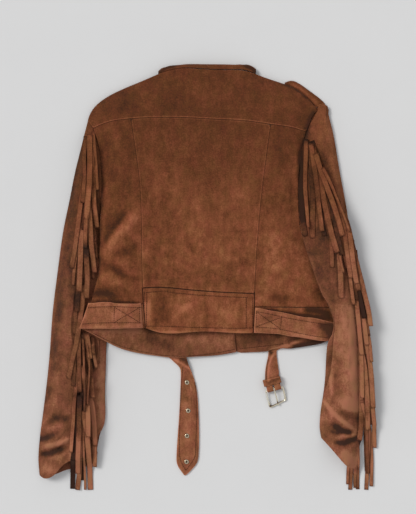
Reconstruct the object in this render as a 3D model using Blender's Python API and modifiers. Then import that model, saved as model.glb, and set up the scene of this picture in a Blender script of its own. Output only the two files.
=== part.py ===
"""A suede jacket with fringed sleeves and a belted hem, lying on its front on a flat surface.

X runs across the back, Y up to the collar and Z up from the surface, with the origin below the
middle of the jacket. The tables are in millimetres, and MM turns them into the meshes' metres.
"""

import math

import bmesh
import bpy
import numpy as np

MM = 0.001

# Cloth and clearances
SUEDE = 1.6              # one layer
STRAP = 2.4              # belt and epaulettes, two layers stitched together
TASSEL = 1.2             # a strand of the fringe
GAP = 0.3                # between pieces that meet
REST = 0.7               # between sheets that drape over each other
SEAM = 0.2               # each piece stops this far short of its seam line
FOLD_RADIUS = 4.0        # roundness of the body's folded edges

# How full the hollow garment lies
BODY_LOFT = 17.0
SLEEVE_LEFT_LOFT = 22.0
SLEEVE_RIGHT_LOFT = 27.0
BODY_REACH = 24.0        # distance from an edge over which the cloth swells
SLEEVE_REACH = 15.0


def ease(value):
    """A smooth step from 0 to 1 as the value goes from 0 to 1."""
    value = np.clip(value, 0, 1)
    return value * value * (3 - 2 * value)


class Line:
    """A smooth line through a short table of x, y points, read by the share of its length."""

    def __init__(self, *points):
        self.points = np.array(points, float)
        steps = np.hypot(*np.diff(self.points, axis=0).T)
        self.knots = np.append(0, np.cumsum(steps)) / steps.sum()
        self.slopes = np.gradient(self.points, self.knots, axis=0)

    def at(self, share):
        share = np.clip(np.asarray(share, float), 0, 1)
        i = np.clip(np.searchsorted(self.knots, share, side="right") - 1, 0, len(self.knots) - 2)
        step = (self.knots[i + 1] - self.knots[i])[..., None]
        s = (share - self.knots[i])[..., None] / step
        start, end = self.points[i], self.points[i + 1]
        leave, arrive = self.slopes[i] * step, self.slopes[i + 1] * step
        return (start * (1 + 2 * s) * (1 - s) ** 2 + leave * s * (1 - s) ** 2
                + end * s * s * (3 - 2 * s) + arrive * s * s * (s - 1))

    def part(self, first, last):
        """The stretch between two of the table's rows."""
        return Part(self, self.knots[first], self.knots[last])

    def then(self, other):
        return Line(*self.points, *other.points[1:])

    def back(self):
        return Line(*self.points[::-1])


class Part:
    """A stretch of a line."""

    def __init__(self, line, start, end):
        self.line, self.start, self.end = line, start, end

    def at(self, share):
        return self.line.at(self.start + (self.end - self.start) * np.asarray(share, float))


# The body's lines. Each table's rows are x, y.
NECK = Line((-90.1, 343.4), (-71.4, 354.5), (-50, 358.5), (-20.4, 355.5), (12.8, 352.4), (40.8, 354.2),
            (60, 355.5), (73.1, 352.4), (85, 345.9))
SHOULDER_LEFT = Line((-90.1, 343.4), (-130.9, 329), (-159.8, 315.4), (-183.6, 301.8), (-197.2, 288.2),
                     (-204, 274.6), (-205.7, 267.1))
SHOULDER_RIGHT = Line((85, 345.9), (129.2, 331.5), (156.4, 318.8), (173.4, 303.5), (187, 285.6))
ARMHOLE_LEFT = Line((-205.7, 267.1), (-195.5, 254.2), (-187, 230.4), (-181.9, 191.3), (-181.9, 131.8),
                    (-184.5, 72.3))
ARMHOLE_RIGHT = Line((187, 285.6), (178.5, 276), (172.6, 261), (166.6, 248.2), (159.4, 221),
                     (155.6, 191.3), (153, 131.8), (154.7, 101.2), (159.1, 72.3))
SIDE_LEFT = Line((-184.5, 72.3), (-184.8, 45.1), (-185.3, 9.4), (-191.5, -14), (-199.2, -44),
                 (-207.4, -68.9), (-214.9, -87.6))
SIDE_RIGHT = Line((159.1, 72.3), (180.2, 33.2), (193.8, -7.7), (209.8, -52), (219, -78), (217.6, -106))
YOKE_SEAM = Line((-195.5, 254.2), (-166.6, 265.2), (-130.9, 269.8), (-64.6, 272.5), (20.4, 268.6),
                 (71.4, 266.1), (107.1, 260.1), (139.4, 255.9), (166.6, 248.2))
PRINCESS_LEFT = Line((-130.9, 269.8), (-122.4, 210.8), (-115.6, 157.3), (-113.1, 99.5), (-112.2, 17),
                     (-111, -17.9), (-109.8, -45), (-106.4, -85.7))
PRINCESS_RIGHT = Line((107.1, 260.1), (97.8, 193), (88.4, 109.7), (82.5, 34.9), (80.4, -5),
                      (79.6, -27.5), (79.2, -50.2), (77.5, -94.2))
WAIST = Line((-111, -17.9), (-78.2, -16.3), (-43.5, -19.9), (20.4, -25), (79.6, -27.5))
BAND_LEFT = Line((-199.2, -44), (-150, -44.5), (-109.8, -45))
BAND_RIGHT = Line((79.2, -50.2), (150, -51), (209.8, -52))
BACK_HEM = Line((-214.9, -87.6), (-160, -86.5), (-106.4, -85.7), (-82.8, -92.5), (-60, -94.7),
                (-34.2, -91.6), (3.4, -90.1), (45, -93.3), (77.5, -94.2), (140, -96.5), (217.6, -106))
FRONT_HEM_LEFT = Line((-214.9, -87.6), (-183.6, -103.7), (-144.5, -123.3), (-115.6, -130.1),
                      (-90.1, -133.5), (-69.7, -137), (-22.1, -135.2), (3.4, -134.3), (49.3, -128.4))
FRONT_HEM_RIGHT = Line((-40, -130), (3.4, -130), (49.3, -127), (96.9, -125.8), (139.4, -121.6),
                       (202.3, -111.4), (217.6, -108))
FRONT_EDGE_LEFT = Line((-90.1, 343.4), (-45, 300), (5, 200), (26, 100), (40, -40), (49.3, -128.4))
FRONT_EDGE_RIGHT = Line((85, 345.9), (45, 300), (0, 200), (-20, 100), (-34, -40), (-40, -130))
COLLAR_EDGE = Line((-84, 352.8), (-74.8, 359.6), (-62, 363.3), (-20, 363.4), (20, 363.4), (60, 363),
                   (74.8, 359.6), (82.5, 352))
SEAM_CORNERS = 2, 6      # rows of YOKE_SEAM where the princess seams meet it
WAIST_ROW, BAND_ROW, HEM_ROW = 5, 6, 7
BAND_CORNERS = 2, 8      # rows of BACK_HEM at the ends of the waistband

# The sleeves' lines, from the armhole to the cuff
OUTER_LEFT = Line((-205.7, 267.1), (-210.8, 247.4), (-217.6, 220.2), (-231.2, 165.8), (-238, 125),
                  (-244.8, 97.8), (-256.7, 16.2), (-266.9, -65.5), (-270.3, -119.9), (-275.4, -174.3),
                  (-282.2, -228.7), (-289, -283.1), (-290.7, -310.3), (-288.5, -338.3))
INNER_LEFT = Line((-184.5, 72.3), (-170, 38.3), (-161.5, -4.3), (-163.2, -55.3), (-173.4, -104.6),
                  (-174.1, -148.8), (-176.3, -201.5), (-175.1, -238), (-178, -256), (-186.5, -273),
                  (-186.7, -295), (-193, -318))
CUFF_LEFT = Line((-288.5, -338.3), (-279, -344), (-265.2, -341.7), (-254, -328), (-246.5, -315.4),
                 (-231.2, -307.5), (-212, -308), (-193, -318))
CUFF_LEFT_UNDER = Line((-288.5, -338.3), (-279, -344), (-265.2, -341.7), (-252, -331), (-241.4, -327.3),
                       (-217.6, -327.3), (-193, -318))
OUTER_RIGHT = Line((201.5, 292.4), (207.4, 274.6), (217.6, 233.8), (221, 206.6), (231.2, 152.2),
                   (241.4, 97.8), (249.9, 55.3), (261.8, -12.8), (266.9, -55.3), (268.6, -106.3),
                   (268.6, -157.3), (266.9, -208.3), (265.2, -238.9), (261.5, -256.9), (265, -273.5),
                   (258.4, -288), (256.7, -305.2), (253.3, -327.3))
INNER_RIGHT = Line((159.1, 72.3), (171.7, 33.2), (185.3, -7.7), (200.6, -48.5), (212.5, -75.7),
                   (213.5, -106.3), (211.7, -140), (208, -168), (201, -190), (196, -207),
                   (191.1, -242.3), (190.4, -255.9), (193.5, -274.6))
INNER_RIGHT_UNDER = Line((159.1, 72.3), (171.7, 33.2), (185.3, -7.7), (200.6, -48.5), (209, -75.7),
                         (203, -106.3), (201.5, -140), (201, -168), (199, -190), (196, -207),
                         (191.1, -242.3), (190.4, -255.9), (193.5, -274.6))
CUFF_RIGHT = Line((193.5, -274.6), (206.6, -288.2), (223.2, -306.9), (237.5, -322.2), (253.3, -327.3))
CAP_RIGHT = Line((187, 285.6), (201.5, 292.4))

# Creases and bulges of the cloth: from x, y to x, y, half width, and height (down if negative)
BODY_FOLDS = (
    (-114, 132, -183, 40, 13, 3.0),
    (-183, 27, -150, 5, 9, -4.0),
    (-150, 5, -114, 3, 8, -2.5),
    (-190, -22, -112, -26, 9, -3.0),
    (-173, 238, -179, 200, 8, -3.0),
    (113, -25, 145, -42, 9, -4.0),
    (40, 180, 52, 20, 16, 1.2),
    (-60, 200, -52, 30, 18, 1.0),
    (-45, -84, -90, -88, 12, 3.0),
)
SLEEVE_FOLDS = (
    (-283, -268, -256, -261, 6, -5.0),
    (-284, -302, -238, -284, 8, -9.0),
    (-262, -242, -225, -240, 9, -3.5),
    (-280, -285, -240, -272, 5, 2.0),
    (214, -263, 250, -262, 7, -10.0),
    (222, -279, 262, -275, 6, -9.0),
    (224, -239, 264, -239, 9, -5.0),
    (200, -213, 222, -238, 5, 1.5),
    (232, -269, 262, -269, 4, 2.5),
)

COLUMNS_SIDE = np.array((0, .015, .05, .13, .3, .52, .76, 1))
COLUMNS_BACK = np.linspace(0, 1, 9)
COLUMNS_SLEEVE = np.array((0, .014, .045, .11, .26, .5, .74, .89, .955, .986, 1))


def line_distance(lines, x, y):
    """How far each place lies from the nearest of the lines."""
    nearest = np.full(np.shape(x), np.inf)
    for line in lines:
        points = line.at(np.linspace(0, 1, 70))
        for (ax, ay), (bx, by) in zip(points[:-1], points[1:]):
            dx, dy = bx - ax, by - ay
            along = np.clip(((x - ax) * dx + (y - ay) * dy) / (dx * dx + dy * dy), 0, 1)
            nearest = np.minimum(nearest, np.hypot(x - ax - along * dx, y - ay - along * dy))
    return nearest


def creases(table, x, y):
    """The sum of the creases' heights, each fading out beside its line and at its ends."""
    total = np.zeros(np.shape(x))
    for ax, ay, bx, by, width, height in table:
        dx, dy = bx - ax, by - ay
        along = np.clip(((x - ax) * dx + (y - ay) * dy) / (dx * dx + dy * dy), 0, 1)
        away = np.hypot(x - ax - along * dx, y - ay - along * dy)
        total += height * np.exp(-(away / width) ** 2)
    return total


def swell(away, loft, reach, radius=FOLD_RADIUS):
    """Height over a folded edge: a round start, then the slow rise of the hollow cloth."""
    start = radius * np.sqrt(1 - (1 - np.clip(away / radius, 0, 1)) ** 2)
    return start + (loft - radius) * (1 - np.exp(-np.maximum(away - radius, 0) / reach))


class Pile:
    """What lies on the surface so far, as a height for each small square of it."""

    CELL = 2.0
    HALF = np.array((330.0, 390.0))

    def __init__(self):
        count = (2 * self.HALF / self.CELL).astype(int)
        self.top = np.zeros(count)
        self.x = (np.arange(count[0]) + 0.5)[:, None] * self.CELL - self.HALF[0] + np.zeros(count)
        self.y = (np.arange(count[1]) + 0.5)[None, :] * self.CELL - self.HALF[1] + np.zeros(count)

    def lay(self, x, y, z):
        """Raise the squares under the points of a piece's upper face."""
        i = ((np.ravel(x) + self.HALF[0]) / self.CELL).astype(int)
        j = ((np.ravel(y) + self.HALF[1]) / self.CELL).astype(int)
        np.maximum.at(self.top, (i, j), np.ravel(z))

    def lay_on(self, points, lift=0.0):
        """Lay the face through rows and columns of points, raised by the wall if they are its underside."""
        across = np.hypot(*np.moveaxis(np.diff(points[..., :2], axis=1), -1, 0)).max()
        down = np.hypot(*np.moveaxis(np.diff(points[..., :2], axis=0), -1, 0)).max()
        u = np.linspace(0, 1, 2 + int(across / self.CELL * 1.3))[:, None, None, None, None]
        v = np.linspace(0, 1, 2 + int(down / self.CELL * 1.3))[:, None, None, None]
        face = ((points[:-1, :-1] * (1 - u) + points[:-1, 1:] * u) * (1 - v)
                + (points[1:, :-1] * (1 - u) + points[1:, 1:] * u) * v)
        self.lay(face[..., 0], face[..., 1], face[..., 2] + lift)

    def keep(self, inside):
        """Forget everything outside a region, given as a test of x and y."""
        self.top = np.where(inside(self.x, self.y), self.top, 0)

    def drape(self, reach):
        """The height at which cloth hangs over the pile, as a function of x and y."""
        field = self.top
        for pick in (np.max, np.mean):
            for axis in (0, 1):
                field = pick([np.roll(field, k, axis) for k in range(-reach, reach + 1)], axis=0)

        def height(x, y):
            i = np.clip((np.asarray(x) + self.HALF[0]) / self.CELL - 0.5, 0, field.shape[0] - 2)
            j = np.clip((np.asarray(y) + self.HALF[1]) / self.CELL - 0.5, 0, field.shape[1] - 2)
            a, b = i.astype(int), j.astype(int)
            s, t = i - a, j - b
            return (field[a, b] * (1 - s) * (1 - t) + field[a + 1, b] * s * (1 - t)
                    + field[a, b + 1] * (1 - s) * t + field[a + 1, b + 1] * s * t)
        return height


def patch(top, bottom, left, right, inset=SEAM):
    """Plan places between four lines that meet at their corners, a little short of the lines."""
    width = max(np.hypot(*(right.at(s) - left.at(s))) for s in (0, .25, .5, .75, 1))
    length = max(np.hypot(*(bottom.at(s) - top.at(s))) for s in (0, .5, 1))

    def place(u, v):
        u = inset / width + u * (1 - 2 * inset / width)
        v = inset / length + v * (1 - 2 * inset / length)
        across, down = u[..., None], v[..., None]
        sides = (1 - across) * left.at(v) + across * right.at(v)
        ends = (1 - down) * top.at(u) + down * bottom.at(u)
        corners = ((1 - across) * (1 - down) * top.at(0) + across * (1 - down) * top.at(1)
                   + (1 - across) * down * bottom.at(0) + across * down * bottom.at(1))
        return np.moveaxis(sides + ends - corners, -1, 0)
    return place


def material(name, colour, roughness, metallic=0.0):
    made = bpy.data.materials.new(name)
    made.use_nodes = True
    shader = made.node_tree.nodes["Principled BSDF"]
    shader.inputs["Base Color"].default_value = (*colour, 1)
    shader.inputs["Roughness"].default_value = roughness
    shader.inputs["Metallic"].default_value = metallic
    return made


def add(name, data, finish, group):
    made = bpy.data.objects.new(name, data)
    group.objects.link(made)
    data.materials.append(finish)
    return made


def grid(bm, points):
    """Faces over rows and columns of points, the upper side facing up."""
    rows, columns = points.shape[:2]
    made = bmesh.ops.create_grid(bm, x_segments=columns - 1, y_segments=rows - 1, size=0.5)
    for vertex in made["verts"]:
        column = round((vertex.co.x + 0.5) * (columns - 1))
        row = round((0.5 - vertex.co.y) * (rows - 1))
        vertex.co = points[row, column] * MM


def cloth(name, points, wall, finish, rises=False):
    """A sheet over points on its upper face, or on its lower one if the wall rises from it."""
    bm = bmesh.new()
    grid(bm, points)
    mesh = bpy.data.meshes.new(name)
    bm.to_mesh(mesh)
    bm.free()
    mesh.shade_smooth()
    made = add(name, mesh, finish, JACKET)
    solid = made.modifiers.new("wall", "SOLIDIFY")
    solid.thickness = wall * MM
    solid.offset = 1 if rises else -1
    return made


def surface(place, height, across, down):
    """The points of a piece from its plan and its height."""
    u, v = np.meshgrid(across, down)
    x, y = place(u, v)
    return np.stack((x, y, height(x, y)), axis=-1)


for old in list(bpy.data.objects):
    bpy.data.objects.remove(old)
JACKET = bpy.data.collections.new("fringed jacket")
TOOLS = bpy.data.collections.new("joined and cut shapes")
for collection in (JACKET, TOOLS):
    bpy.context.scene.collection.children.link(collection)

SUEDE_UPPER = material("suede", (0.145, 0.052, 0.024), 0.9)
SUEDE_INNER = material("suede inside", (0.13, 0.05, 0.026), 0.95)
SUEDE_FRINGE = material("suede fringe", (0.16, 0.062, 0.03), 0.9)
PALE_GOLD = material("pale gold", (0.72, 0.62, 0.45), 0.3, 1.0)


# Heights of the body, the same for every piece of the back
FOLDED_EDGES = (SHOULDER_LEFT, SHOULDER_RIGHT, SIDE_LEFT, SIDE_RIGHT)
ARMHOLES = (ARMHOLE_LEFT, ARMHOLE_RIGHT)
HEM_SHARE = 0.62         # how much of the loft is left at the open hem
HEM_RISE = 110.0         # and over what height it comes back
VALLEY = 0.35            # how much the armhole seams pull the cloth down


def body_height(x, y):
    """Height of the back's outer face over the pieces that it lies on."""
    away = line_distance(FOLDED_EDGES, x, y)
    loft = BODY_LOFT * (HEM_SHARE + (1 - HEM_SHARE) * ease((y + 95) / HEM_RISE))
    rise = swell(away, loft, BODY_REACH)
    rise = rise * (1 - VALLEY * np.exp(-(line_distance(ARMHOLES, x, y) / 16) ** 2) * ease(away / 30))
    return np.maximum(rise + creases(BODY_FOLDS, x, y) * ease(away / 14), np.minimum(rise, 3.5))


def side_x(line, y):
    points = line.at(np.linspace(0, 1, 80))
    return np.interp(-y, -points[:, 1], points[:, 0])




# The left sleeve lies on the surface, and the body's side lies over its inner edge
RIM = 1.0                # extra room under the rolled rim of an upper piece
UNDERARM_Y = 72.3
PRESSED = 0.4            # how flat the body presses the sleeve under it
ROWS_SLEEVE = np.append(np.linspace(0, 0.76, 15), np.linspace(0.76, 1, 15)[1:])
ROWS_UNDER = np.linspace(0, 1, 22)
COLUMNS_UNDER = np.linspace(0, 1, 5)
pile = Pile()


def sleeve_height(edges, armhole, loft, squash, x, y):
    """Height of a sleeve's upper face over its under sleeve, joining the body at the armhole."""
    away = line_distance(edges, x, y)
    rise = swell(away, loft, SLEEVE_REACH) * squash(x, y)
    rise = np.maximum(rise + creases(SLEEVE_FOLDS, x, y) * ease(away / 10), np.minimum(rise, 4.5))
    near = ease(line_distance((armhole,), x, y) / 34)
    return SUEDE + RIM + body_height(x, y) * (1 - near) + rise * near


def under_side(x, y):
    """1 where the left sleeve lies free, less under the body's side."""
    under = ease((x - side_x(SIDE_LEFT, y) + 18) / 24) * ease((UNDERARM_Y + 8 - y) / 30)
    return 1 - (1 - PRESSED) * under * ease((y + 135) / 35)


def left_height(x, y):
    return sleeve_height((OUTER_LEFT, INNER_LEFT), ARMHOLE_LEFT, SLEEVE_LEFT_LOFT, under_side, x, y)


left_edge = Line(*ARMHOLE_LEFT.points[1:]).then(INNER_LEFT)
left_plan = patch(ARMHOLE_LEFT.part(0, 1), CUFF_LEFT, OUTER_LEFT, left_edge, 0.35)
left_under_plan = patch(ARMHOLE_LEFT.part(0, 1), CUFF_LEFT_UNDER, OUTER_LEFT, left_edge, 0.35)
sleeve_left_under = surface(left_under_plan, lambda x, y: 0 * x, COLUMNS_UNDER, ROWS_UNDER)
sleeve_left = surface(left_plan, left_height, COLUMNS_SLEEVE, ROWS_SLEEVE)
cloth("sleeve_left_under", sleeve_left_under, SUEDE, SUEDE_UPPER, rises=True)
cloth("sleeve_left", sleeve_left, SUEDE, SUEDE_UPPER)
pile.lay_on(sleeve_left)


# Fringes: strands cut from a narrow backing that is sewn along the sleeve
STRAND_WIDTH = 9.0
STRAND_ASIDE = -20, 0, 20, -10, 10      # how far each one slips aside before it hangs
STRAND_LENGTH = 150, 138, 158, 144, 162, 133, 154, 147
BACKING_WIDTH = 7.0
ROOTED = 0.5             # how deep a strand's root goes into the backing
BEND = 24.0              # spacing in Y of the places where strands bend, the same for them all


def strand_points(root, aside, lean, length, root_height, over, limit):
    """Rows of two points down one strand's underside, clear of all that lies under it."""
    fine = np.linspace(0, length, int(length / 2))
    sideways = aside * ease(fine / 34) + np.tan(np.radians(lean)) * fine
    sideways = np.minimum(sideways, limit(root[1] - fine) - root[0])
    angle = np.clip(np.arctan(np.gradient(sideways, fine)), -0.45, 0.45)
    bends = root[1] - np.arange(np.floor((root[1] - 12) / BEND), -20, -1) * BEND
    stations = np.array([0, 8] + [at for at in bends if at < length - 8] + [length])
    # the strand is straight in plan from one station to the next
    centre = root + np.stack((np.interp(stations, fine, sideways), -stations), axis=-1)
    side = np.interp(stations, fine, angle)
    side = np.stack((np.cos(side), np.sin(side)), axis=-1) * STRAND_WIDTH / 2
    needed = np.full(len(fine), 0.0)
    for aside in (-1, -0.6, -0.2, 0.2, 0.6, 1):
        x, y = [np.interp(fine, stations, edge) for edge in (centre + side * aside).T]
        needed = np.maximum(needed, over(x, y) + GAP)
    height = np.interp(stations, fine, needed)
    height[0] = root_height
    segment = np.minimum(np.searchsorted(stations, fine, side="right"), len(stations) - 1)
    share = (fine - stations[segment - 1]) / (stations[segment] - stations[segment - 1])
    before = np.where(segment > 1, 1 - share, 0)         # how far a place rises with the station before it
    firm = fine > 5                                      # the root itself is inside the backing
    for _ in range(800):
        lack = (needed - height[segment - 1] * (1 - share) - height[segment] * share) * firm
        worst = lack.argmax()
        if lack[worst] < 0.02:
            break
        rise = lack[worst] / (before[worst] ** 2 + share[worst] ** 2)
        height[segment[worst] - 1] += rise * before[worst]
        height[segment[worst]] += rise * share[worst]
    return np.stack([np.column_stack((centre + side * end, height)) for end in (-1, 1)], axis=1)


def fringe(name, seam, leans, count, backing_rows, lowest=-356.0, limit=lambda y: 400 + 0 * y):
    """Strands hung along a seam from a backing, the lowest first, each lying over those below it.

    No strand reaches below the lowest Y, and limit gives how far to the right its middle may lie.
    """
    share = np.linspace(0, 1, backing_rows)
    middle = seam.at(share)
    ahead = np.gradient(middle, axis=0)
    ahead /= np.linalg.norm(ahead, axis=1)[:, None]
    side = np.stack((-ahead[:, 1], ahead[:, 0]), axis=-1) * BACKING_WIDTH / 2
    over = pile.drape(3)
    plan = np.stack((middle - side, middle + side), axis=1)
    base = np.max([over(*edge.T) for edge in (middle - side, middle, middle + side)], axis=0) + GAP
    backing = np.concatenate((plan, np.repeat(base[:, None, None], 2, axis=1)), axis=-1)
    pile.lay_on(backing, TASSEL)
    bm = bmesh.new()
    for number in reversed(range(count)):
        place = (number + 0.3) / count
        shares, lean, spread = zip(*leans)
        aside = STRAND_ASIDE[number % len(STRAND_ASIDE)] * np.interp(place, shares, spread)
        length = min(STRAND_LENGTH[number % len(STRAND_LENGTH)], seam.at(place)[1] - lowest)
        root_height = np.interp(place, share, base) + TASSEL - ROOTED
        points = strand_points(seam.at(place), aside, np.interp(place, shares, lean), length,
                               root_height, pile.drape(0), limit)
        grid(bm, points)
        pile.lay_on(points, TASSEL + 0.1)
    bmesh.ops.remove_doubles(bm, verts=bm.verts, dist=1e-7)
    mesh = bpy.data.meshes.new(name + " strands")
    bm.to_mesh(mesh)
    bm.free()
    strands = add(name + " strands", mesh, SUEDE_FRINGE, TOOLS)
    wall = strands.modifiers.new("wall", "SOLIDIFY")
    wall.thickness = TASSEL * MM
    wall.offset = 1
    strands.hide_render = True
    strands.display_type = "WIRE"
    made = cloth(name, backing, TASSEL, SUEDE_FRINGE, rises=True)
    joined = made.modifiers.new("strands", "BOOLEAN")
    joined.operation = "UNION"
    joined.solver = "EXACT"
    joined.object = strands


BODY_EDGE_LEFT = Line(*SIDE_LEFT.points, *FRONT_HEM_LEFT.points[1:4])
# how far to the right the middle of a strand may lie beside that edge: y, x
LIMIT_LEFT = np.array(((-160, -185), (-130, -207), (-100, -230), (-88, -230), (-72, -224), (-40, -210.5),
                       (0, -199), (40, -196), (72, -196), (110, -170)))


FRINGE_LEFT = Line((-200, 243), (-202, 228), (-204, 199.8), (-205.7, 131.8), (-209.1, 63.8),
                   (-214, 5), (-222, -40), (-229, -78), (-226, -108), (-217, -150), (-212.5, -208.3),
                   (-214.2, -250), (-216, -285))
# share of the seam, lean in degrees to the right, and how much of the slip aside is taken
LEANS_LEFT = (0, -1, 0.35), (0.25, -2, 0.75), (0.35, -1, 1), (0.48, 0, 0.7), (0.66, 1, 0.6), (0.76, 0, 1), (1, 0, 1)
fringe("fringe_left", FRINGE_LEFT, LEANS_LEFT, 38, 20,
       limit=lambda y: np.interp(y, LIMIT_LEFT[:, 0], LIMIT_LEFT[:, 1]))
pile.keep(lambda x, y: (y < UNDERARM_Y) & (x > side_x(BODY_EDGE_LEFT, y) - 3))


# Under stretches of the belts and the epaulettes, on the outside of the fronts
def belt_under(rows, over):
    """The under stretch of a belt: rows of its two edges in plan, laid on the pile, columns across."""
    share = np.linspace(0, 1, 4)[None, :, None]
    rows = np.array(rows, float)
    plan = rows[:, :1] * (1 - share) + rows[:, 1:] * share
    x, y = plan[..., 0], plan[..., 1]
    low = over(x, y)
    return np.stack((x, y, low + GAP * ease(low)), axis=-1)


# rows: x, y of the edge that is uppermost on the back, then of the other edge
BELT_LEFT_UNDER = (
    ((-192.5, -43), (-208.7, -86)),
    ((-172, -54), (-188, -93)),
    ((-140, -72), (-156, -104)),
    ((-105, -93), (-122, -117)),
    ((-70, -113), (-90, -128)),
    ((-38, -131), (-66, -136)),
)
BELT_RIGHT_UNDER = (
    ((212.5, -77), (211.6, -106)),
    ((190, -84), (188, -108)),
    ((162, -95), (160, -113)),
    ((138, -106), (134, -118)),
    ((103.5, -125), (117.5, -125)),
)
over = pile.drape(4)
belt_left_under = belt_under(BELT_LEFT_UNDER, over)
belt_right_under = belt_under(BELT_RIGHT_UNDER, over)
pile.lay_on(belt_left_under, STRAP)
pile.lay_on(belt_right_under, STRAP)
pile.lay(np.linspace(-40, -64, 30), np.full(30, -138.0), np.full(30, STRAP))

EPAULETTE_RIGHT_OUTER = Line((131, 333), (142.8, 335.8), (150, 332.5), (170, 318.8), (186, 307),
                             (199.5, 296))
EPAULETTE_RIGHT_INNER = Line((131, 322), (139, 309), (148, 302), (160, 296), (171, 291), (183.5, 289.5))
EPAULETTE_LEFT_OUTER = Line((-186, 272), (-178, 286), (-158, 303), (-128, 321), (-108, 329))
EPAULETTE_LEFT_INNER = Line((-166, 250), (-160, 260), (-144, 273), (-118, 289), (-98, 299))


def epaulette(name, outer, inner):
    """A flat strap between two lines."""
    def plan(u, v):
        return np.moveaxis(outer.at(u) * (1 - v[..., None]) + inner.at(u) * v[..., None], -1, 0)
    points = surface(plan, lambda x, y: 0 * x, np.linspace(0, 1, 9), np.linspace(0, 1, 3))
    cloth(name, points, STRAP, SUEDE_UPPER, rises=True)
    pile.lay_on(points, STRAP)


epaulette("epaulette_right", EPAULETTE_RIGHT_OUTER, EPAULETTE_RIGHT_INNER)
epaulette("epaulette_left", EPAULETTE_LEFT_OUTER, EPAULETTE_LEFT_INNER)


# Fronts: the right one on the surface, the left one over it
ROWS_FRONT = np.append((0, .02, .045, .08, .12), np.linspace(.18, 1, 13))


def front(name, plan):
    over = pile.drape(11)
    points = surface(plan, lambda x, y: over(x, y) + REST * ease(over(x, y)),
                     np.linspace(0, 1, 12), ROWS_FRONT)
    pile.lay_on(points, SUEDE)
    cloth(name, points, SUEDE, SUEDE_INNER, rises=True)


INSIDE = 1.0             # the fronts end this far inside the seams of the back
front("front_right", patch(SHOULDER_RIGHT, FRONT_HEM_RIGHT, FRONT_EDGE_RIGHT,
                           ARMHOLE_RIGHT.then(SIDE_RIGHT), INSIDE))
front("front_left", patch(SHOULDER_LEFT.back(), FRONT_HEM_LEFT, ARMHOLE_LEFT.then(SIDE_LEFT),
                          FRONT_EDGE_LEFT, INSIDE))


# The back, in panels that share one height
over_fronts = pile.drape(8)


def back_height(x, y):
    return over_fronts(x, y) + RIM + body_height(x, y)


def back_panel(name, plan, across, down, raised=0.0):
    points = surface(plan, lambda x, y: back_height(x, y) + raised, across, down)
    cloth(name, points, SUEDE, SUEDE_UPPER)
    pile.lay_on(points)
    return points


corner_left, corner_right = YOKE_SEAM.knots[list(SEAM_CORNERS)]
yoke_columns = np.concatenate((corner_left * COLUMNS_SIDE,
                               corner_left + (corner_right - corner_left) * COLUMNS_BACK[1:],
                               1 - (1 - corner_right) * COLUMNS_SIDE[::-1][1:]))
rows_yoke = np.array((0, .012, .04, .1, .22, .4, .6, .8, 1))
rows_side = np.linspace(0, 1, 14)
yoke_top = SHOULDER_LEFT.back().then(NECK).then(SHOULDER_RIGHT)
back_yoke = back_panel("back_yoke", patch(yoke_top, YOKE_SEAM, ARMHOLE_LEFT.part(0, 1),
                                          ARMHOLE_RIGHT.part(0, 3)), yoke_columns, rows_yoke)
back_panel("back_centre", patch(YOKE_SEAM.part(*SEAM_CORNERS), WAIST, PRINCESS_LEFT.part(0, WAIST_ROW),
                                PRINCESS_RIGHT.part(0, WAIST_ROW)), COLUMNS_BACK, rows_side)
left_rim = Line(*ARMHOLE_LEFT.points[1:]).then(Line(*SIDE_LEFT.points[:5]))
right_rim = Line(*ARMHOLE_RIGHT.points[3:]).then(Line(*SIDE_RIGHT.points[:4]))
back_panel("back_side_left", patch(YOKE_SEAM.part(0, SEAM_CORNERS[0]), BAND_LEFT, left_rim,
                                   PRINCESS_LEFT.part(0, BAND_ROW)), COLUMNS_SIDE, rows_side)
back_panel("back_side_right", patch(YOKE_SEAM.part(SEAM_CORNERS[1], -1), BAND_RIGHT,
                                    PRINCESS_RIGHT.part(0, BAND_ROW), right_rim),
           1 - COLUMNS_SIDE[::-1], rows_side)
rows_band = np.linspace(0, 1, 4)
back_panel("hem_band_left", patch(BAND_LEFT, BACK_HEM.part(0, BAND_CORNERS[0]), SIDE_LEFT.part(4, -1),
                                  PRINCESS_LEFT.part(BAND_ROW, HEM_ROW)), COLUMNS_SIDE, rows_band)
back_panel("hem_band_right", patch(BAND_RIGHT, BACK_HEM.part(BAND_CORNERS[1], -1),
                                   PRINCESS_RIGHT.part(BAND_ROW, HEM_ROW), SIDE_RIGHT.part(3, -1)),
           1 - COLUMNS_SIDE[::-1], rows_band)
back_panel("waistband", patch(WAIST, BACK_HEM.part(*BAND_CORNERS), PRINCESS_LEFT.part(WAIST_ROW, HEM_ROW),
                              PRINCESS_RIGHT.part(WAIST_ROW, HEM_ROW), 0.4),
           COLUMNS_BACK, np.linspace(0, 1, 5), raised=0.8)


# Belts: one stitched strap each, over the hem, round the body's side, under the front and out again
def strap(name, rows):
    """A strap over rows of four points on its outer face."""
    return cloth(name, np.array(rows), STRAP, SUEDE_UPPER)


def lanes(first, last, height):
    """Four points from edge to edge of a strap, at the height of a function of x and y."""
    share = np.linspace(0, 1, 4)[:, None]
    plan = np.array(first) * (1 - share) + np.array(last) * share
    return np.column_stack((plan, height(*plan.T)))


def wrap(side, inward, top, low):
    """Rows round the body's side, between the strap's ends over and under it; inward is 1 or -1."""
    rows = []
    for out, share, fall in ((0, 0, 0.3), (-3.4, 0, 1.8), (-4.8, 0.5, 0), (-3.4, 1, -1.4), (0, 1, 0)):
        x = side_x(side, top[:, 1]) + inward * out
        z = top[:, 2] * (1 - share) + low[:, 2] * share - fall
        y = top[:, 1] * (1 - share) + low[:, 1] * share
        rows.append(np.column_stack((x, y, z)))
    return rows


over = pile.drape(5)


def strap_top(x, y):
    return over(x, y) + 0.5 + STRAP


def on_surface(x, y):
    return 0 * x


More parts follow.
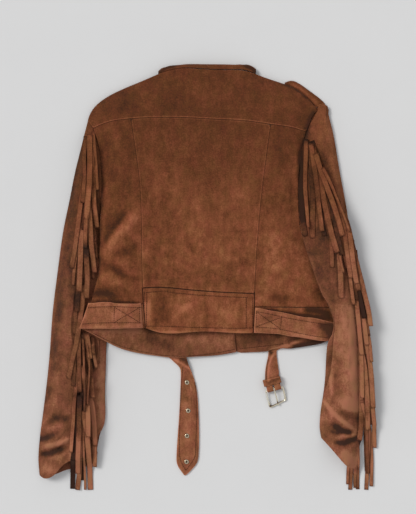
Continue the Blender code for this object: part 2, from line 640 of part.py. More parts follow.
# rows: the strap's upper edge, then its lower edge
BELT_LEFT_TOP = (
    ((-113.5, -42), (-110.5, -85.5)),
    ((-135, -41.7), (-134, -86)),
    ((-160, -41.3), (-162, -86.3)),
    ((-180, -41), (-186, -86.5)),
    ((-192.5, -43), (-208.7, -86)),
)
BELT_RIGHT_TOP = (
    ((80.5, -51.5), (78.5, -94)),
    ((104, -53.8), (106, -95.2)),
    ((127.5, -56.5), (137, -97)),
    ((156.4, -63.8), (160, -99.5)),
    ((185, -69.3), (187, -105)),
    ((212.5, -77), (211.6, -106)),
)
# rows: the free end's edges, with the height of the first one where the strap turns
BELT_LEFT_END = (
    ((-35.5, -143), (-58, -145.5), 5),
    ((-31, -154), (-46.5, -153.5), 6),
    ((-27, -164), (-46, -164), 0),
    ((-19.6, -186), (-47, -186), 0),
    ((-16.8, -213), (-48, -213), 0),
    ((-15.5, -247), (-50, -247), 0),
    ((-15.1, -281), (-52.7, -281), 0),
    ((-16, -305), (-54, -305), 0),
    ((-17.5, -317.4), (-54.4, -319), 0),
    ((-27, -328.5), (-47.5, -330), 0),
    ((-37.5, -339), (-40.5, -339), 0),
)
HOLES = (-35.9, -179.9), (-33.8, -228.3), (-35.9, -271.3), (-36.7, -315.7)
HOLE_RADIUS = 3.2

top = [lanes(*row, strap_top) for row in BELT_LEFT_TOP]
rows = top + wrap(SIDE_LEFT, 1, top[-1], belt_left_under[0]) + list(belt_left_under)
for first, last, lift in BELT_LEFT_END:
    row = lanes(first, last, on_surface)
    row[:, 2] = lift * np.linspace(1, 0, 4)
    rows.append(row)
belt_left = strap("belt_left", rows)
pile.lay_on(np.array(rows[:len(top) + 3]))

for number, (x, y) in enumerate(HOLES, 1):
    bm = bmesh.new()
    bmesh.ops.create_cone(bm, cap_ends=True, segments=12, radius1=HOLE_RADIUS * MM, radius2=HOLE_RADIUS * MM,
                          depth=20 * MM)
    bmesh.ops.translate(bm, verts=bm.verts, vec=(x * MM, y * MM, 0))
    mesh = bpy.data.meshes.new(f"hole {number}")
    bm.to_mesh(mesh)
    bm.free()
    cutter = add(f"hole {number}", mesh, PALE_GOLD, TOOLS)
    cutter.hide_render = True
    cutter.display_type = "WIRE"
    cut = belt_left.modifiers.new(cutter.name, "BOOLEAN")
    cut.operation = "DIFFERENCE"
    cut.solver = "EXACT"
    cut.object = cutter


def turned(name, x, y, profile, segments):
    """A ring turned round an upright axis from a closed profile of radius, z."""
    bm = bmesh.new()
    corners = [bm.verts.new((radius * MM, 0, z * MM)) for radius, z in profile]
    edges = [bm.edges.new((corners[k - 1], corners[k])) for k in range(len(corners))]
    bmesh.ops.spin(bm, geom=corners + edges, axis=(0, 0, 1), cent=(0, 0, 0), steps=segments,
                   angle=2 * math.pi, use_duplicate=False)
    bmesh.ops.remove_doubles(bm, verts=bm.verts, dist=1e-7)
    bmesh.ops.recalc_face_normals(bm, faces=bm.faces)
    bmesh.ops.translate(bm, verts=bm.verts, vec=(x * MM, y * MM, 0))
    mesh = bpy.data.meshes.new(name)
    bm.to_mesh(mesh)
    bm.free()
    mesh.shade_smooth()
    add(name, mesh, PALE_GOLD, JACKET)


EYELET = (2.2, 0.2), (2.9, 0.2), (2.9, STRAP + GAP), (4.4, STRAP + GAP), (4.2, STRAP + 1.0), (2.6, STRAP + 1.2), (2.2, STRAP + 0.9)
for number, (x, y) in enumerate(HOLES, 1):
    turned(f"eyelet_{number}", x, y, EYELET, 14)


# The buckle hangs from the right belt's free end: its heel bar's middle, direction and height
BAR = np.array((112.9, -190.2, 6.5))
BAR_ANGLE = math.radians(15.1)
BAR_WAY = np.array((math.cos(BAR_ANGLE), math.sin(BAR_ANGLE), 0))
AWAY = np.array((math.sin(BAR_ANGLE), -math.cos(BAR_ANGLE), 0))
LOOP_WIDTH = 25.0
# round the bar: distance beyond it, and height over its middle
LOOP = ((-12, -4.3), (-5, -4.3), (0, -4.3), (3.04, -3.04), (4.3, 0), (3.04, 3.04), (0, 4.3), (-5, 4.1),
        (-12, 2.6), (-18, 1.6))
BELT_RIGHT_END = (
    ((103.5, -134), (117.5, -134)),
    ((100, -148), (119.5, -148)),
    ((97.5, -162), (121.5, -160)),
)


def at_buckle(along, beyond, up):
    """A place by its distance along the heel bar, beyond it and over its middle."""
    return BAR + along * BAR_WAY + beyond * AWAY + up * np.array((0, 0, 1))


top = [lanes(*row, strap_top) for row in BELT_RIGHT_TOP]
rows = top + wrap(SIDE_RIGHT, -1, top[-1], belt_right_under[0]) + list(belt_right_under)
rows += [lanes(*row, on_surface) for row in BELT_RIGHT_END]
for beyond, up in LOOP:
    rows.append(np.array([at_buckle(along, beyond, up) for along in np.linspace(-0.5, 0.5, 4) * LOOP_WIDTH]))
belt_right = strap("belt_right", np.array(rows)[:, ::-1])
pile.lay_on(np.array(rows[:len(top) + 3]))


def tool(name, bm):
    mesh = bpy.data.meshes.new(name)
    bm.to_mesh(mesh)
    bm.free()
    made = add(name, mesh, PALE_GOLD, TOOLS)
    made.hide_render = True
    made.display_type = "WIRE"
    return made


bm = bmesh.new()
bmesh.ops.create_cube(bm, size=MM)
bmesh.ops.scale(bm, verts=bm.verts, vec=(6, 12, 14))
slot = tool("slot for the prong", bm)
slot.location = at_buckle(0, 0, 0) * MM
slot.rotation_euler.z = BAR_ANGLE
cut = belt_right.modifiers.new("slot", "BOOLEAN")
cut.operation = "DIFFERENCE"
cut.solver = "EXACT"
cut.object = slot


def wire(name, points, radius, closed):
    """A round wire through points given at the buckle."""
    curve = bpy.data.curves.new(name, "CURVE")
    curve.dimensions = "3D"
    curve.bevel_depth = radius * MM
    curve.bevel_resolution = 1
    curve.use_fill_caps = not closed
    spline = curve.splines.new("POLY")
    spline.points.add(len(points) - 1)
    spline.use_cyclic_u = closed
    for made, point in zip(spline.points, points):
        made.co = (*at_buckle(*point) * MM, 1)
    add(name, curve, PALE_GOLD, JACKET)


FRAME_HALF = 15.0
FRAME_LENGTH = 27.0
FRAME_DROP = 4.7         # the far bar is this much lower than the heel bar
WIRE = 1.5
# one half of the frame: along the bar, beyond it
FRAME = ((12.6, 0), (14.3, 0.7), (15, 2.6), (15, 12), (14.8, 20), (13.6, 24), (10.6, 26.3), (6, 27))
frame = [(along, beyond, -FRAME_DROP * beyond / FRAME_LENGTH) for along, beyond in FRAME]
frame += [(-along, beyond, up) for along, beyond, up in reversed(frame)]
wire("buckle_frame", frame, WIRE, True)

PRONG = 1.1
HOOK = 2.9               # radius of the prong's hook round the heel bar
hook = [(0, HOOK * math.cos(math.radians(turn)), HOOK * math.sin(math.radians(turn)))
        for turn in range(330, 80, -30)]
wire("buckle_prong", hook + [(0, 8, 2.2), (0, 18, 0.2), (0, 26, -1.6), (0, 30, -2.3)], PRONG, False)

# The keeper: a band round both layers of the strap above the buckle
KEEPER = ((14.2, -6.45), (15.3, -5.35), (15.3, 4.3), (14.2, 5.4), (-14.2, 5.4), (-15.3, 4.3), (-15.3, -5.35),
          (-14.2, -6.45))
bm = bmesh.new()
bmesh.ops.create_cone(bm, cap_ends=False, segments=len(KEEPER), radius1=1, radius2=1, depth=1)
for vertex in bm.verts:
    corner = round(math.degrees(math.atan2(vertex.co.y, vertex.co.x)) / 45) % 8
    along, up = KEEPER[corner]
    vertex.co = at_buckle(along, -18.5 + 11 * (0.5 - vertex.co.z), up) * MM
bmesh.ops.recalc_face_normals(bm, faces=bm.faces)
mesh = bpy.data.meshes.new("belt_keeper")
bm.to_mesh(mesh)
bm.free()
keeper = add("belt_keeper", mesh, SUEDE_UPPER, JACKET)
wall = keeper.modifiers.new("wall", "SOLIDIFY")
wall.thickness = 1.2 * MM
wall.offset = 1


# The collar, rolled over from the back of the neck down to the surface
COLLAR_ENDS = -85.0, 82.0
seam_x = back_yoke[0][:, 0]
neck_x = np.concatenate((COLLAR_ENDS[:1], seam_x[(seam_x > -80) & (seam_x < 77)], COLLAR_ENDS[1:]))
neck = np.column_stack([np.interp(neck_x, seam_x, back_yoke[0][:, k]) for k in range(3)])
edge = COLLAR_EDGE.at(np.linspace(0, 1, 60))
rows = []
for turn in np.radians((165, 140, 112, 84, 56, 28, 0)):
    beyond = np.interp(neck[:, 0], edge[:, 0], edge[:, 1]) - neck[:, 1]
    rows.append(np.column_stack((neck[:, 0], neck[:, 1] + 1.0 + beyond * math.sin(turn),
                                 neck[:, 2] * (1 + math.cos(turn)) / 2)))
cloth("collar", np.array(rows), SUEDE, SUEDE_UPPER)


# The right sleeve, over the body's side, with a few strands that hang out of its cuff
body = pile.top.copy()
pile.keep(lambda x, y: y < UNDERARM_Y - 2)
fringe("fringe_right_cuff", Line((244.8, -296.7), (250, -308), (255, -320.5)),
       ((0, 0, 0.3), (1, 0, 0.3)), 3, 6, lowest=-361.0)
over_side = pile.drape(9)


def under_sleeve(x, y):
    return over_side(x, y) + (REST + GAP) * ease(over_side(x, y))


def right_height(x, y):
    return under_sleeve(x, y) + sleeve_height((OUTER_RIGHT, INNER_RIGHT), ARMHOLE_RIGHT, SLEEVE_RIGHT_LOFT,
                                              lambda x, y: 1, x, y)


sleeve_right_under = surface(
    patch(CAP_RIGHT, CUFF_RIGHT, ARMHOLE_RIGHT.then(INNER_RIGHT_UNDER), OUTER_RIGHT, 0.35),
    under_sleeve, COLUMNS_UNDER, ROWS_UNDER)
sleeve_right = surface(
    patch(CAP_RIGHT, CUFF_RIGHT, ARMHOLE_RIGHT.then(INNER_RIGHT), OUTER_RIGHT, 0.35),
    right_height, COLUMNS_SLEEVE, ROWS_SLEEVE)
cloth("sleeve_right_under", sleeve_right_under, SUEDE, SUEDE_UPPER, rises=True)
cloth("sleeve_right", sleeve_right, SUEDE, SUEDE_UPPER)
pile.lay_on(sleeve_right_under, SUEDE)
pile.lay_on(sleeve_right)
pile.top = np.maximum(pile.top, body)

FRINGE_RIGHT = Line((176, 232), (187, 201.5), (202.3, 167.5), (210.8, 153.9), (221, 121.6),
                    (234.6, 102.9), (241.4, 82.5), (249.9, 62.1), (253.3, 12.8), (255, -38.3),
                    (258.4, -89.3), (260.1, -157.3), (261.8, -208.3), (262, -250.8), (258, -278))
LEANS_RIGHT = ((0, 2, 0.4), (0.12, 9, 0.9), (0.2, 9, 1), (0.3, 7, 0.9), (0.5, 5, 0.6), (0.65, 4, 0.6),
               (0.8, 2, 0.6), (1, 0, 0.6))
fringe("fringe_right", FRINGE_RIGHT, LEANS_RIGHT, 36, 20)
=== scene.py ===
import math

import bmesh
import bpy
import numpy as np
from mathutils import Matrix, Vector
from mathutils.bvhtree import BVHTree
from mathutils.kdtree import KDTree


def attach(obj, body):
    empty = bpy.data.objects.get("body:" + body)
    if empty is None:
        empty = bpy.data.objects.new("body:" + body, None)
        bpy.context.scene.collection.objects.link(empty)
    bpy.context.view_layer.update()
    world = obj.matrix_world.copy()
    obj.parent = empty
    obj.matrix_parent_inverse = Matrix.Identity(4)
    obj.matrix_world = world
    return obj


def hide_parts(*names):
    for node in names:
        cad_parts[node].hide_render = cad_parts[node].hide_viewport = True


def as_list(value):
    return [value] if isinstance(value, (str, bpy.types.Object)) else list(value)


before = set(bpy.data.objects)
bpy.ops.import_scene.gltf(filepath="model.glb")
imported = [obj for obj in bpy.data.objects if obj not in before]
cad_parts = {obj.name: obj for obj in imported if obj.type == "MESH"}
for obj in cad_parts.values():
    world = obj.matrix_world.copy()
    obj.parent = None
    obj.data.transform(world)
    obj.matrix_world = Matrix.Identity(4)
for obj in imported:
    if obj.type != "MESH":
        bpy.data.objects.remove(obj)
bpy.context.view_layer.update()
MM = 0.001


# The table: a plain pale board that the jacket is spread on, face down, with
# its back to the lens. The lens hangs over the middle of the jacket, and a
# broad soft lamp stands up and to the left of the collar.
LENS_HEIGHT = 2447       # mm over the board
LENS_OVER = 0, 34.9      # mm
LAMP_AIM = 0.78, -0.42, -0.92
BOARD_REACH = 3          # metres each way
BOARD_DROP = 0.3         # mm under the jacket
lens = bpy.data.cameras.new("overhead")
lens.lens = 100
lens.sensor_width = 36
overhead = bpy.data.objects.new("overhead", lens)
overhead.location = LENS_OVER[0] * MM, LENS_OVER[1] * MM, LENS_HEIGHT * MM
bpy.context.scene.collection.objects.link(overhead)
bpy.context.scene.camera = overhead
bpy.context.scene.view_settings.view_transform = "Standard"

room = bpy.data.worlds.new("room")
room.use_nodes = True
room.node_tree.nodes["Background"].inputs["Color"].default_value = 0.97, 0.98, 1, 1
room.node_tree.nodes["Background"].inputs["Strength"].default_value = 0.62
bpy.context.scene.world = room

lamp = bpy.data.lights.new("soft lamp", "SUN")
lamp.energy = 1.75
lamp.angle = math.radians(24)
lamp.color = 1, 0.985, 0.96
soft_lamp = bpy.data.objects.new("soft lamp", lamp)
soft_lamp.rotation_euler = Vector(LAMP_AIM).to_track_quat("-Z", "Y").to_euler()
bpy.context.scene.collection.objects.link(soft_lamp)


class Shade:
    """A socket of a finish's nodes that can stand in a sum."""

    def __init__(self, finish, socket):
        self.finish = finish
        self.socket = socket

    def sum(self, operation, first, second):
        return self.finish.node("ShaderNodeMath", {"operation": operation}, {0: first, 1: second})

    def __add__(self, other):
        return self.sum("ADD", self, other)

    __radd__ = __add__

    def __sub__(self, other):
        return self.sum("SUBTRACT", self, other)

    def __rsub__(self, other):
        return self.sum("SUBTRACT", other, self)

    def __mul__(self, other):
        return self.sum("MULTIPLY", self, other)


class Finish:
    """The material of one finish, built node by node."""

    def __init__(self, name):
        self.material = bpy.data.materials.new(name)
        self.material.use_nodes = True
        self.tree = self.material.node_tree
        self.tree.nodes.clear()

    def node(self, kind, settings=None, sockets=None, output=0):
        """Adds a node with its settings and with values or links for its sockets, and gives one output."""
        made = self.tree.nodes.new(kind)
        for key, value in (settings or {}).items():
            if key == "stops":
                stops = made.color_ramp.elements
                while len(stops) < len(value):
                    stops.new(1)
                for stop, (place, colour) in zip(stops, value):
                    stop.position = place
                    stop.color = (*colour, 1)
            else:
                setattr(made, key, value)
        for key, value in (sockets or {}).items():
            if isinstance(value, Shade):
                self.tree.links.new(value.socket, made.inputs[key])
            else:
                made.inputs[key].default_value = value
        return Shade(self, made.outputs[output])

    def noise(self, place, size, detail=3, stretch=None):
        """Even grey noise about 0, with lumps of a size in mm."""
        if stretch:
            place = self.node("ShaderNodeMapping", None, {"Vector": place, "Scale": stretch})
        return self.node("ShaderNodeTexNoise", None,
                         {"Vector": place, "Scale": 1000 / size, "Detail": detail, "Roughness": 0.58}) - 0.5

    def step(self, value, start, end, low=0, high=1):
        """A smooth step of a value from low to high."""
        return self.node("ShaderNodeMapRange", {"interpolation_type": "SMOOTHSTEP"},
                         {"Value": value, "From Min": start, "From Max": end, "To Min": low, "To Max": high})

    def done(self, **sockets):
        """Joins the sockets to a Principled shader and gives the material."""
        named = {socket.replace("_", " "): value for socket, value in sockets.items()}
        surface = self.node("ShaderNodeBsdfPrincipled", None, named)
        end = self.tree.nodes.new("ShaderNodeOutputMaterial")
        self.tree.links.new(surface.socket, end.inputs["Surface"])
        return self.material


board_finish = Finish("pale board")
board_place = board_finish.node("ShaderNodeTexCoord", output=3)
board_colour = board_finish.node("ShaderNodeValToRGB",
                                 {"stops": ((0, (0.655, 0.655, 0.655)), (1, (0.675, 0.675, 0.675)))},
                                 {"Fac": board_finish.noise(board_place, 90) + 0.5})
bm = bmesh.new()
bmesh.ops.create_grid(bm, x_segments=2, y_segments=2, size=BOARD_REACH)
bmesh.ops.translate(bm, verts=bm.verts, vec=(0, 0, -BOARD_DROP * MM))
board_mesh = bpy.data.meshes.new("board")
bm.to_mesh(board_mesh)
bm.free()
board_mesh.materials.append(board_finish.done(Base_Color=board_colour, Roughness=0.9))
board = bpy.data.objects.new("board", board_mesh)
bpy.context.scene.collection.objects.link(board)


# The yoke, the three back panels and the bands under them: one brown suede,
# cut in panels that meet in narrow seams. Painted shade makes it darker over
# the shoulders and warmer towards the hem.
def suede(name, dark, deep, warm, worn, grain=1.0, lit=0.1, edge=0.0, rosy=0.0):
    """A napped leather, from its darkest tone to its most worn one. Its free rims are painted lighter by lit,
    partly worn nap and partly a painted highlight, and darker by edge, a painted shade at the cut edges, and
    rosy turns it yellower towards the shoulders."""
    f = Finish(name)
    place = f.node("ShaderNodeTexCoord", output=3)
    along = f.node("ShaderNodeSeparateXYZ", None, {"Vector": place}, 1)
    seam, rim, fold, tone = (f.node("ShaderNodeAttribute", {"attribute_name": kind}, output=2)
                             for kind in ("seam", "rim", "fold", "tone"))

    # the nap, from broad clouds to single tufts
    clouds = f.noise(place, 64, 3)
    blots = f.noise(place, 15, 5)
    combed = f.noise(place, 6.5, 4, (1, 0.35, 1))
    nap = f.noise(place, 2.2, 3)
    # painted shade: darker towards the shoulders, lighter towards the hem
    height = f.step(along, -0.15, 0.34, 0.14, -0.14)
    calm = f.step(along, 0.02, 0.26, 1.1, 0.6)

    # seam and rim are 8 on the line itself and 1 less for each mm away from it
    groove = f.step(seam, 7.35, 7.9)
    # the turned edge beside a seam: a ridge in the bump and a painted highlight
    ridge_bump_and_highlight = f.step(seam, 5.2, 6.0) * f.step(seam, 6.9, 7.5, 1, 0) * fold
    # the free rims: worn nap and a painted highlight
    rim_wear_and_highlight = f.step(rim, 6.3, 7.9)
    # the seams' dark line, and painted shade along the cut rims where edge is set
    seam_line_and_edge_shade = groove * 0.5 + f.step(rim, 7.0, 7.8) * edge

    def tinted(share, under, over):
        return f.node("ShaderNodeMix", {"data_type": "RGBA", "blend_type": "MULTIPLY"},
                      {"Factor": share, "A": under, "B": over}, 2)

    # the level mixes painted light into the nap: painted shade towards the shoulders, painted light and shade
    # laid on each piece, and painted highlights on seam ridges and rims
    level = (0.47 + clouds * 0.42 + (blots * 0.7 + combed * 0.5) * calm + nap * 0.75 + height + tone
             + ridge_bump_and_highlight * 0.34 + rim_wear_and_highlight * lit)
    body = f.node("ShaderNodeValToRGB", {"stops": ((0, dark), (0.34, deep), (0.66, warm), (1, worn))},
                  {"Fac": level})
    hue = f.noise(place, 17, 6, (1, 0.7, 1))
    dye = f.node("ShaderNodeValToRGB", {"stops": ((0.3, (0.93, 1.045, 0.9)), (0.7, (1.07, 0.965, 1.07)))},
                 {"Fac": hue + 0.5})
    lined = tinted(seam_line_and_edge_shade, tinted(1.0, body, dye), (0.26, 0.2, 0.19, 1))
    colour = tinted(f.step(along, -0.02, 0.2) * rosy, lined, (1.03, 0.97, 0.8, 1))
    relief = (combed * 0.5 + blots * 0.3 + nap * 0.3 * grain + f.noise(place, 0.9, 2) * 0.2 * grain
              + ridge_bump_and_highlight * 0.9 - groove * 0.7)
    bump = f.node("ShaderNodeBump", None, {"Height": relief, "Strength": 0.8, "Distance": 1.0 * MM})
    return f.done(Base_Color=colour, Roughness=0.94 - blots * 0.12, Normal=bump, Specular_IOR_Level=0.12,
                  Sheen_Weight=0.1, Sheen_Roughness=0.5, Sheen_Tint=(1, 0.55, 0.34, 1))


SUEDE = suede("brown suede", (0.048, 0.0165, 0.0078), (0.112, 0.034, 0.0122), (0.206, 0.0645, 0.0265),
              (0.35, 0.125, 0.058))


def rounded(node, levels):
    """A smooth copy of a CAD shell, its rims and corners kept sharp."""
    bm = bmesh.new()
    bm.from_mesh(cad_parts[node].data)
    bmesh.ops.remove_doubles(bm, verts=bm.verts, dist=0.004 * MM)
    bmesh.ops.join_triangles(bm, faces=bm.faces, angle_face_threshold=math.radians(40),
                             angle_shape_threshold=math.radians(70))
    sharp = bm.edges.layers.float.new("crease_edge")
    for edge in bm.edges:
        if len(edge.link_faces) == 2 and edge.calc_face_angle() > math.radians(50):
            edge[sharp] = 1
    mesh = bpy.data.meshes.new(node + " cut")
    bm.to_mesh(mesh)
    bm.free()
    made = bpy.data.objects.new(node + "_cloth", mesh)
    bpy.context.scene.collection.objects.link(made)
    finer = made.modifiers.new("finer", "SUBSURF")
    finer.levels = finer.render_levels = levels
    smooth = bpy.data.meshes.new_from_object(made.evaluated_get(bpy.context.evaluated_depsgraph_get()))
    made.modifiers.clear()
    made.data = smooth
    return made


def points_of(mesh):
    """A mesh's points in mm."""
    points = np.empty(len(mesh.vertices) * 3)
    mesh.vertices.foreach_get("co", points)
    return points.reshape(-1, 3) / MM


def move_points(mesh, points):
    mesh.vertices.foreach_set("co", (points * MM).ravel())
    mesh.update()


RIM_ANGLE = math.radians(45)


def rim_edges(bm):
    """The edges along a shell's rims."""
    return [edge for edge in bm.edges if len(edge.link_faces) == 2 and edge.calc_face_angle() > RIM_ANGLE]


def rim_points(mesh):
    """Five points, in mm, along each edge of a shell's rims."""
    bm = bmesh.new()
    bm.from_mesh(mesh)
    ends = np.array([(*edge.verts[0].co, *edge.verts[1].co) for edge in rim_edges(bm)]) / MM
    bm.free()
    share = np.linspace(0, 1, 5)[None, :, None]
    return (ends[:, None, :3] * (1 - share) + ends[:, None, 3:] * share).reshape(-1, 3)


def rim_corners(mesh):
    """The numbers of the points on a shell's rims."""
    bm = bmesh.new()
    bm.from_mesh(mesh)
    found = {vert.index for edge in rim_edges(bm) for vert in edge.verts}
    bm.free()
    return sorted(found)


def tree_of(points):
    tree = KDTree(len(points))
    for number, point in enumerate(points):
        tree.insert(point, number)
    tree.balance()
    return tree


def ripple(points, size, seed):
    """Gentle unevenness of about 1 either way over a length in mm."""
    turn = np.random.default_rng(seed)
    total = np.zeros(len(points))
    for wave in range(7):
        heading = turn.uniform(0, math.tau)
        length = size * turn.uniform(0.7, 1.7)
        ahead = points[:, 0] * math.cos(heading) + points[:, 1] * math.sin(heading)
        total += np.sin(ahead * math.tau / length + turn.uniform(0, math.tau))
    return total / 3.2


def near_lines(points, table):
    """What a table of lines on the plan gives to points near them. A row holds the amount, the reach in mm, or
    the reaches to the left and to the right of the line's run, and the line, which fades towards its ends."""
    given = np.zeros(len(points))
    for amount, reach, line in table:
        left, right = np.broadcast_to(reach, 2)
        line = np.array(line, float)
        steps = np.linalg.norm(np.diff(line, axis=0), axis=1)
        far = 3 * max(left, right)
        low, high = line.min(0) - far, line.max(0) + far
        near = np.flatnonzero(((points[:, :2] > low) & (points[:, :2] < high)).all(1))
        if not len(near):
            continue
        flat = points[near, :2]
        best = np.full(len(near), np.inf)
        width = np.full(len(near), left, float)
        place = np.zeros(len(near))
        run = 0.0
        for start, end, step in zip(line[:-1], line[1:], steps):
            ahead = (end - start) / step
            share = np.clip((flat - start) @ ahead, 0, step)
            away = flat - start - share[:, None] * ahead
            distance = np.hypot(*away.T)
            closer = distance < best
            best[closer] = distance[closer]
            side = ahead[0] * away[:, 1] - ahead[1] * away[:, 0]
            width[closer] = np.where(side[closer] > 0, left, right)
            place[closer] = (run + share[closer]) / steps.sum()
            run += step
        fade = np.clip(np.minimum(place, 1 - place) * 5, 0, 1)
        given[near] += amount * np.exp(-(best / width) ** 2) * (0.25 + 0.75 * fade * (2 - fade))
    return given


# folds of the back: rise in mm, reach, line
BACK_FOLDS = (
    (-2.2, (5, 4), ((-137.7, 113), (-151.3, 96), (-164.9, 77.3), (-176.8, 58.6))),
    (2.6, (8, 9), ((-117.3, 111.3), (-136, 87.5), (-156.4, 67.1), (-175.1, 43.4))),
    (-2.0, (9, 8), ((-113.9, 58.6), (-130.9, 50.1), (-146.2, 41.6), (-163.2, 36.5))),
    (-1.3, (6, 5), ((-185.3, 28.1), (-170, 21.2), (-153, 11), (-136, 0.8), (-113.9, -4.2))),
    (1.6, 7, ((-181.9, 4.2), (-158.1, -6), (-136, -16.1))),
    (-1.2, 4, ((-195.5, -26.3), (-176.8, -27.2), (-161.5, -24.6))),
    (-1.6, (9, 7), ((110.5, -31.4), (125.8, -36.5), (142.8, -39.9))),
    (1.2, 8, ((98.6, -14.4), (122.4, -21.2), (156.4, -31.4))),
    (1.3, (5, 7), ((158.1, 199.8), (154.7, 148.8), (156.4, 106.2), (164.9, 63.8))),
    (-1.0, 4, ((146.2, 216.8), (142.8, 148.8), (146.2, 97.8))),
    (0.9, 5, ((23.8, 106.2), (18.7, 63.8), (22.1, 26.3), (17, -11))),
    (-0.9, 4, ((-76.5, 77.3), (-83.3, 46.8), (-93.5, 26.3))),
    (-0.8, 4, ((-68, 111.3), (-62.9, 63.8), (-57.8, 26.3))),
    (0.8, 6, ((-17, 131.8), (-8.5, 89.2), (-15.3, 46.8), (-11.9, 2.5))),
    (-0.8, 5, ((54.4, 148.8), (59.5, 80.8), (56.1, 26.3), (62.9, -11))),
    (0.8, 6, ((-93.5, 216.8), (-85, 165.8), (-88.4, 123.2))),
    (-1.1, 8, ((-153, 264.3), (-136, 237.2), (-122.4, 199.8))),
    (0.9, 8, ((-170, 271.1), (-156.4, 233.8), (-147.9, 186.2), (-151.3, 148.8))),
    (-0.9, 7, ((129.2, 271.1), (122.4, 233.8), (127.5, 191.2))),
    (0.9, 5, ((44.2, 332.3), (35.7, 308.6), (37.4, 281.3))),
    (-0.8, 5, ((-64.6, 335.8), (-54.4, 308.6), (-57.8, 281.3))),
    (0.7, 6, ((-107.1, 325.6), (-95.2, 301.8), (-102, 277.9))),
    (0.8, (5, 6), ((102, 328.9), (110.5, 301.8), (103.7, 277.9))),
)
BACK = ("back_yoke", "back_centre", "back_side_left", "back_side_right", "waistband", "hem_band_left",
        "hem_band_right")
cloth = {node: rounded(node, 3) for node in BACK}


def set_values(made, kind, values):
    """Gives a piece one number at each point, for its finish to read."""
    made.data.attributes.new(kind, "FLOAT", "POINT").data.foreach_set("value", values)


# nap lying darker or lighter on the back, with painted shade and painted highlights along seams, rims and
# beside the straps and the fringe: amount, reach, line
BACK_TONES = (
    (0.2, 15, ((47.6, 179.3), (56.1, 123.2), (64.6, 77.3))),
    (0.12, 15, ((23.8, 26.3), (54.4, 33.1))),
    (0.17, (17, 15), ((149.6, 70.5), (161.5, 33.1), (156.4, -11))),
    (0.2, 17, ((108.8, 84.1), (113.9, 4.2))),
    (0.09, 24, ((-37.4, 165.8), (-30.6, 94.3), (-54.4, 9.3))),
    (-0.14, 13, ((-173.4, 254.2), (-168.3, 191.2), (-153, 157.2))),
    (-0.15, 13, ((-153, 131.8), (-170, 84.1))),
    (-0.26, (4, 13), ((-136, 114.8), (-153, 94.3), (-166.6, 77.3), (-178.5, 56.9))),
    (0.17, (11, 14), ((-117.3, 106.2), (-146.2, 79), (-175.1, 50.1))),
    (-0.08, (5, 7), ((-183.6, 28.1), (-166.6, 16.1), (-149.6, 6), (-132.6, -0.8), (-113.9, -4.2))),
    (-0.13, 7, ((-142.8, 41.6), (-120.7, 58.6))),
    (-0.12, (9, 13), ((-176.8, 16.1), (-136, 12.8), (-73.1, -6))),
    (-0.45, (7, 8), ((-207.4, -29.8), (-187, -26.3), (-170, -28.1), (-153, -34.9))),
    (-0.24, 9, ((-187, -22.9), (-156.4, -28.1), (-119, -33.1))),
    (-0.12, 14, ((-132.6, 305.1), (-119, 267.8))),
    (-0.06, 16, ((30.6, 288.1), (34, 250.8))),
    (0.24, 6, ((147.9, 230.3), (144.5, 191.2), (142.8, 152.2))),
    (-0.4, 3, ((155.5, 216.8), (154.7, 148.8), (159.8, 87.5))),
    (-0.4, 5, ((-184.4, 216.8), (-181.9, 131.8), (-187, 63.8), (-192.1, 12.8))),
    (-0.16, 8, ((108.8, -34.9), (139.4, -34.9))),
    (-0.9, (3.5, 5), ((91.8, -52.7), (122.4, -59.5), (149.6, -63.8), (181.9, -67.1), (212.5, -70.5))),
    (-0.8, 6, ((163.2, -54.4), (187, -56.9), (210.8, -63.8))),
    (-0.4, 10, ((183.6, -17.8), (198.9, -38.2))),
    (-0.6, (2.5, 3), ((-204, -39.9), (-158.1, -40.8), (-112.2, -42.5))),
    (-0.45, 3, ((125.8, 330.6), (142.8, 326.4), (158.1, 317.1), (171.7, 303.4))),
    (-0.12, 18, ((-180.2, 281.3), (-132.6, 308.6))),
    (-0.5, 4, ((-184.4, 36.5), (-188.7, -4.2))),
    (-0.15, 6, ((-183.6, -16.1), (-139.4, -16.1))),
    (-0.2, 6, ((-90.1, -68.8), (-85, -82.5))),
    (-0.9, 4, ((168.3, 243.9), (161.5, 220.2), (158.1, 191.2))),
    (0.6, 4, ((-108, -41.6), (-108, -79))),
    (-0.28, (9, 10), ((-78.2, -33.1), (-74.8, -55.2), (-68, -75.6))),
    (0.4, 5, ((-100.3, -34.9), (-99.5, -75.6))),
    (-0.16, 6, ((-161.5, 19.6), (-147.9, 7.6))),
    (-0.45, 6, ((182.8, 284.8), (175.1, 267.8), (167.4, 247.3))),
    (0.6, 4, ((-74.8, -91.8), (-13.6, -94.3), (71.4, -92.6))),
    (0.22, 12, ((-37.4, -43.4), (-30.6, -62))),
    (-0.2, 7, ((-1.7, -50.1), (0, -72.2))),
    (0.18, (12, 10), ((23.8, -58.6), (40.8, -68.8))),
    (0.9, 2, ((-98.6, -88.4), (-85, -92.6), (-68, -93.5), (-30.6, -95.2))),
    (-0.12, 8, ((-98.6, 67.1), (-90.1, 26.3))),
    (-0.1, 6, ((-137.7, 46.8), (-125.8, 26.3))),
    (0.12, 6, ((-180.2, 36.5), (-156.4, 43.4))),
    (0.08, 40, ((-20.4, 165.8), (-5.1, 12.8))),
    (0.1, 30, ((74.8, 101.1), (139.4, 26.3))),
    (0.14, 12, ((27.2, 148.8), (34, 111.3))),
    (-0.1, 12, ((-47.6, 55.2), (11.9, 51.9))),
    (0.1, 20, ((-73.1, -56.9), (54.4, -60.4))),
    (-0.12, (10, 12), ((117.3, 233.8), (122.4, 179.3))),
    (-0.14, 8, ((-141.1, 191.2), (-137.7, 140.2))),
    (0.12, 6, ((-166.6, 225.2), (-163.2, 182.8))),
    (-0.14, 6, ((-90.1, 2.5), (-74.8, -4.2))),
)


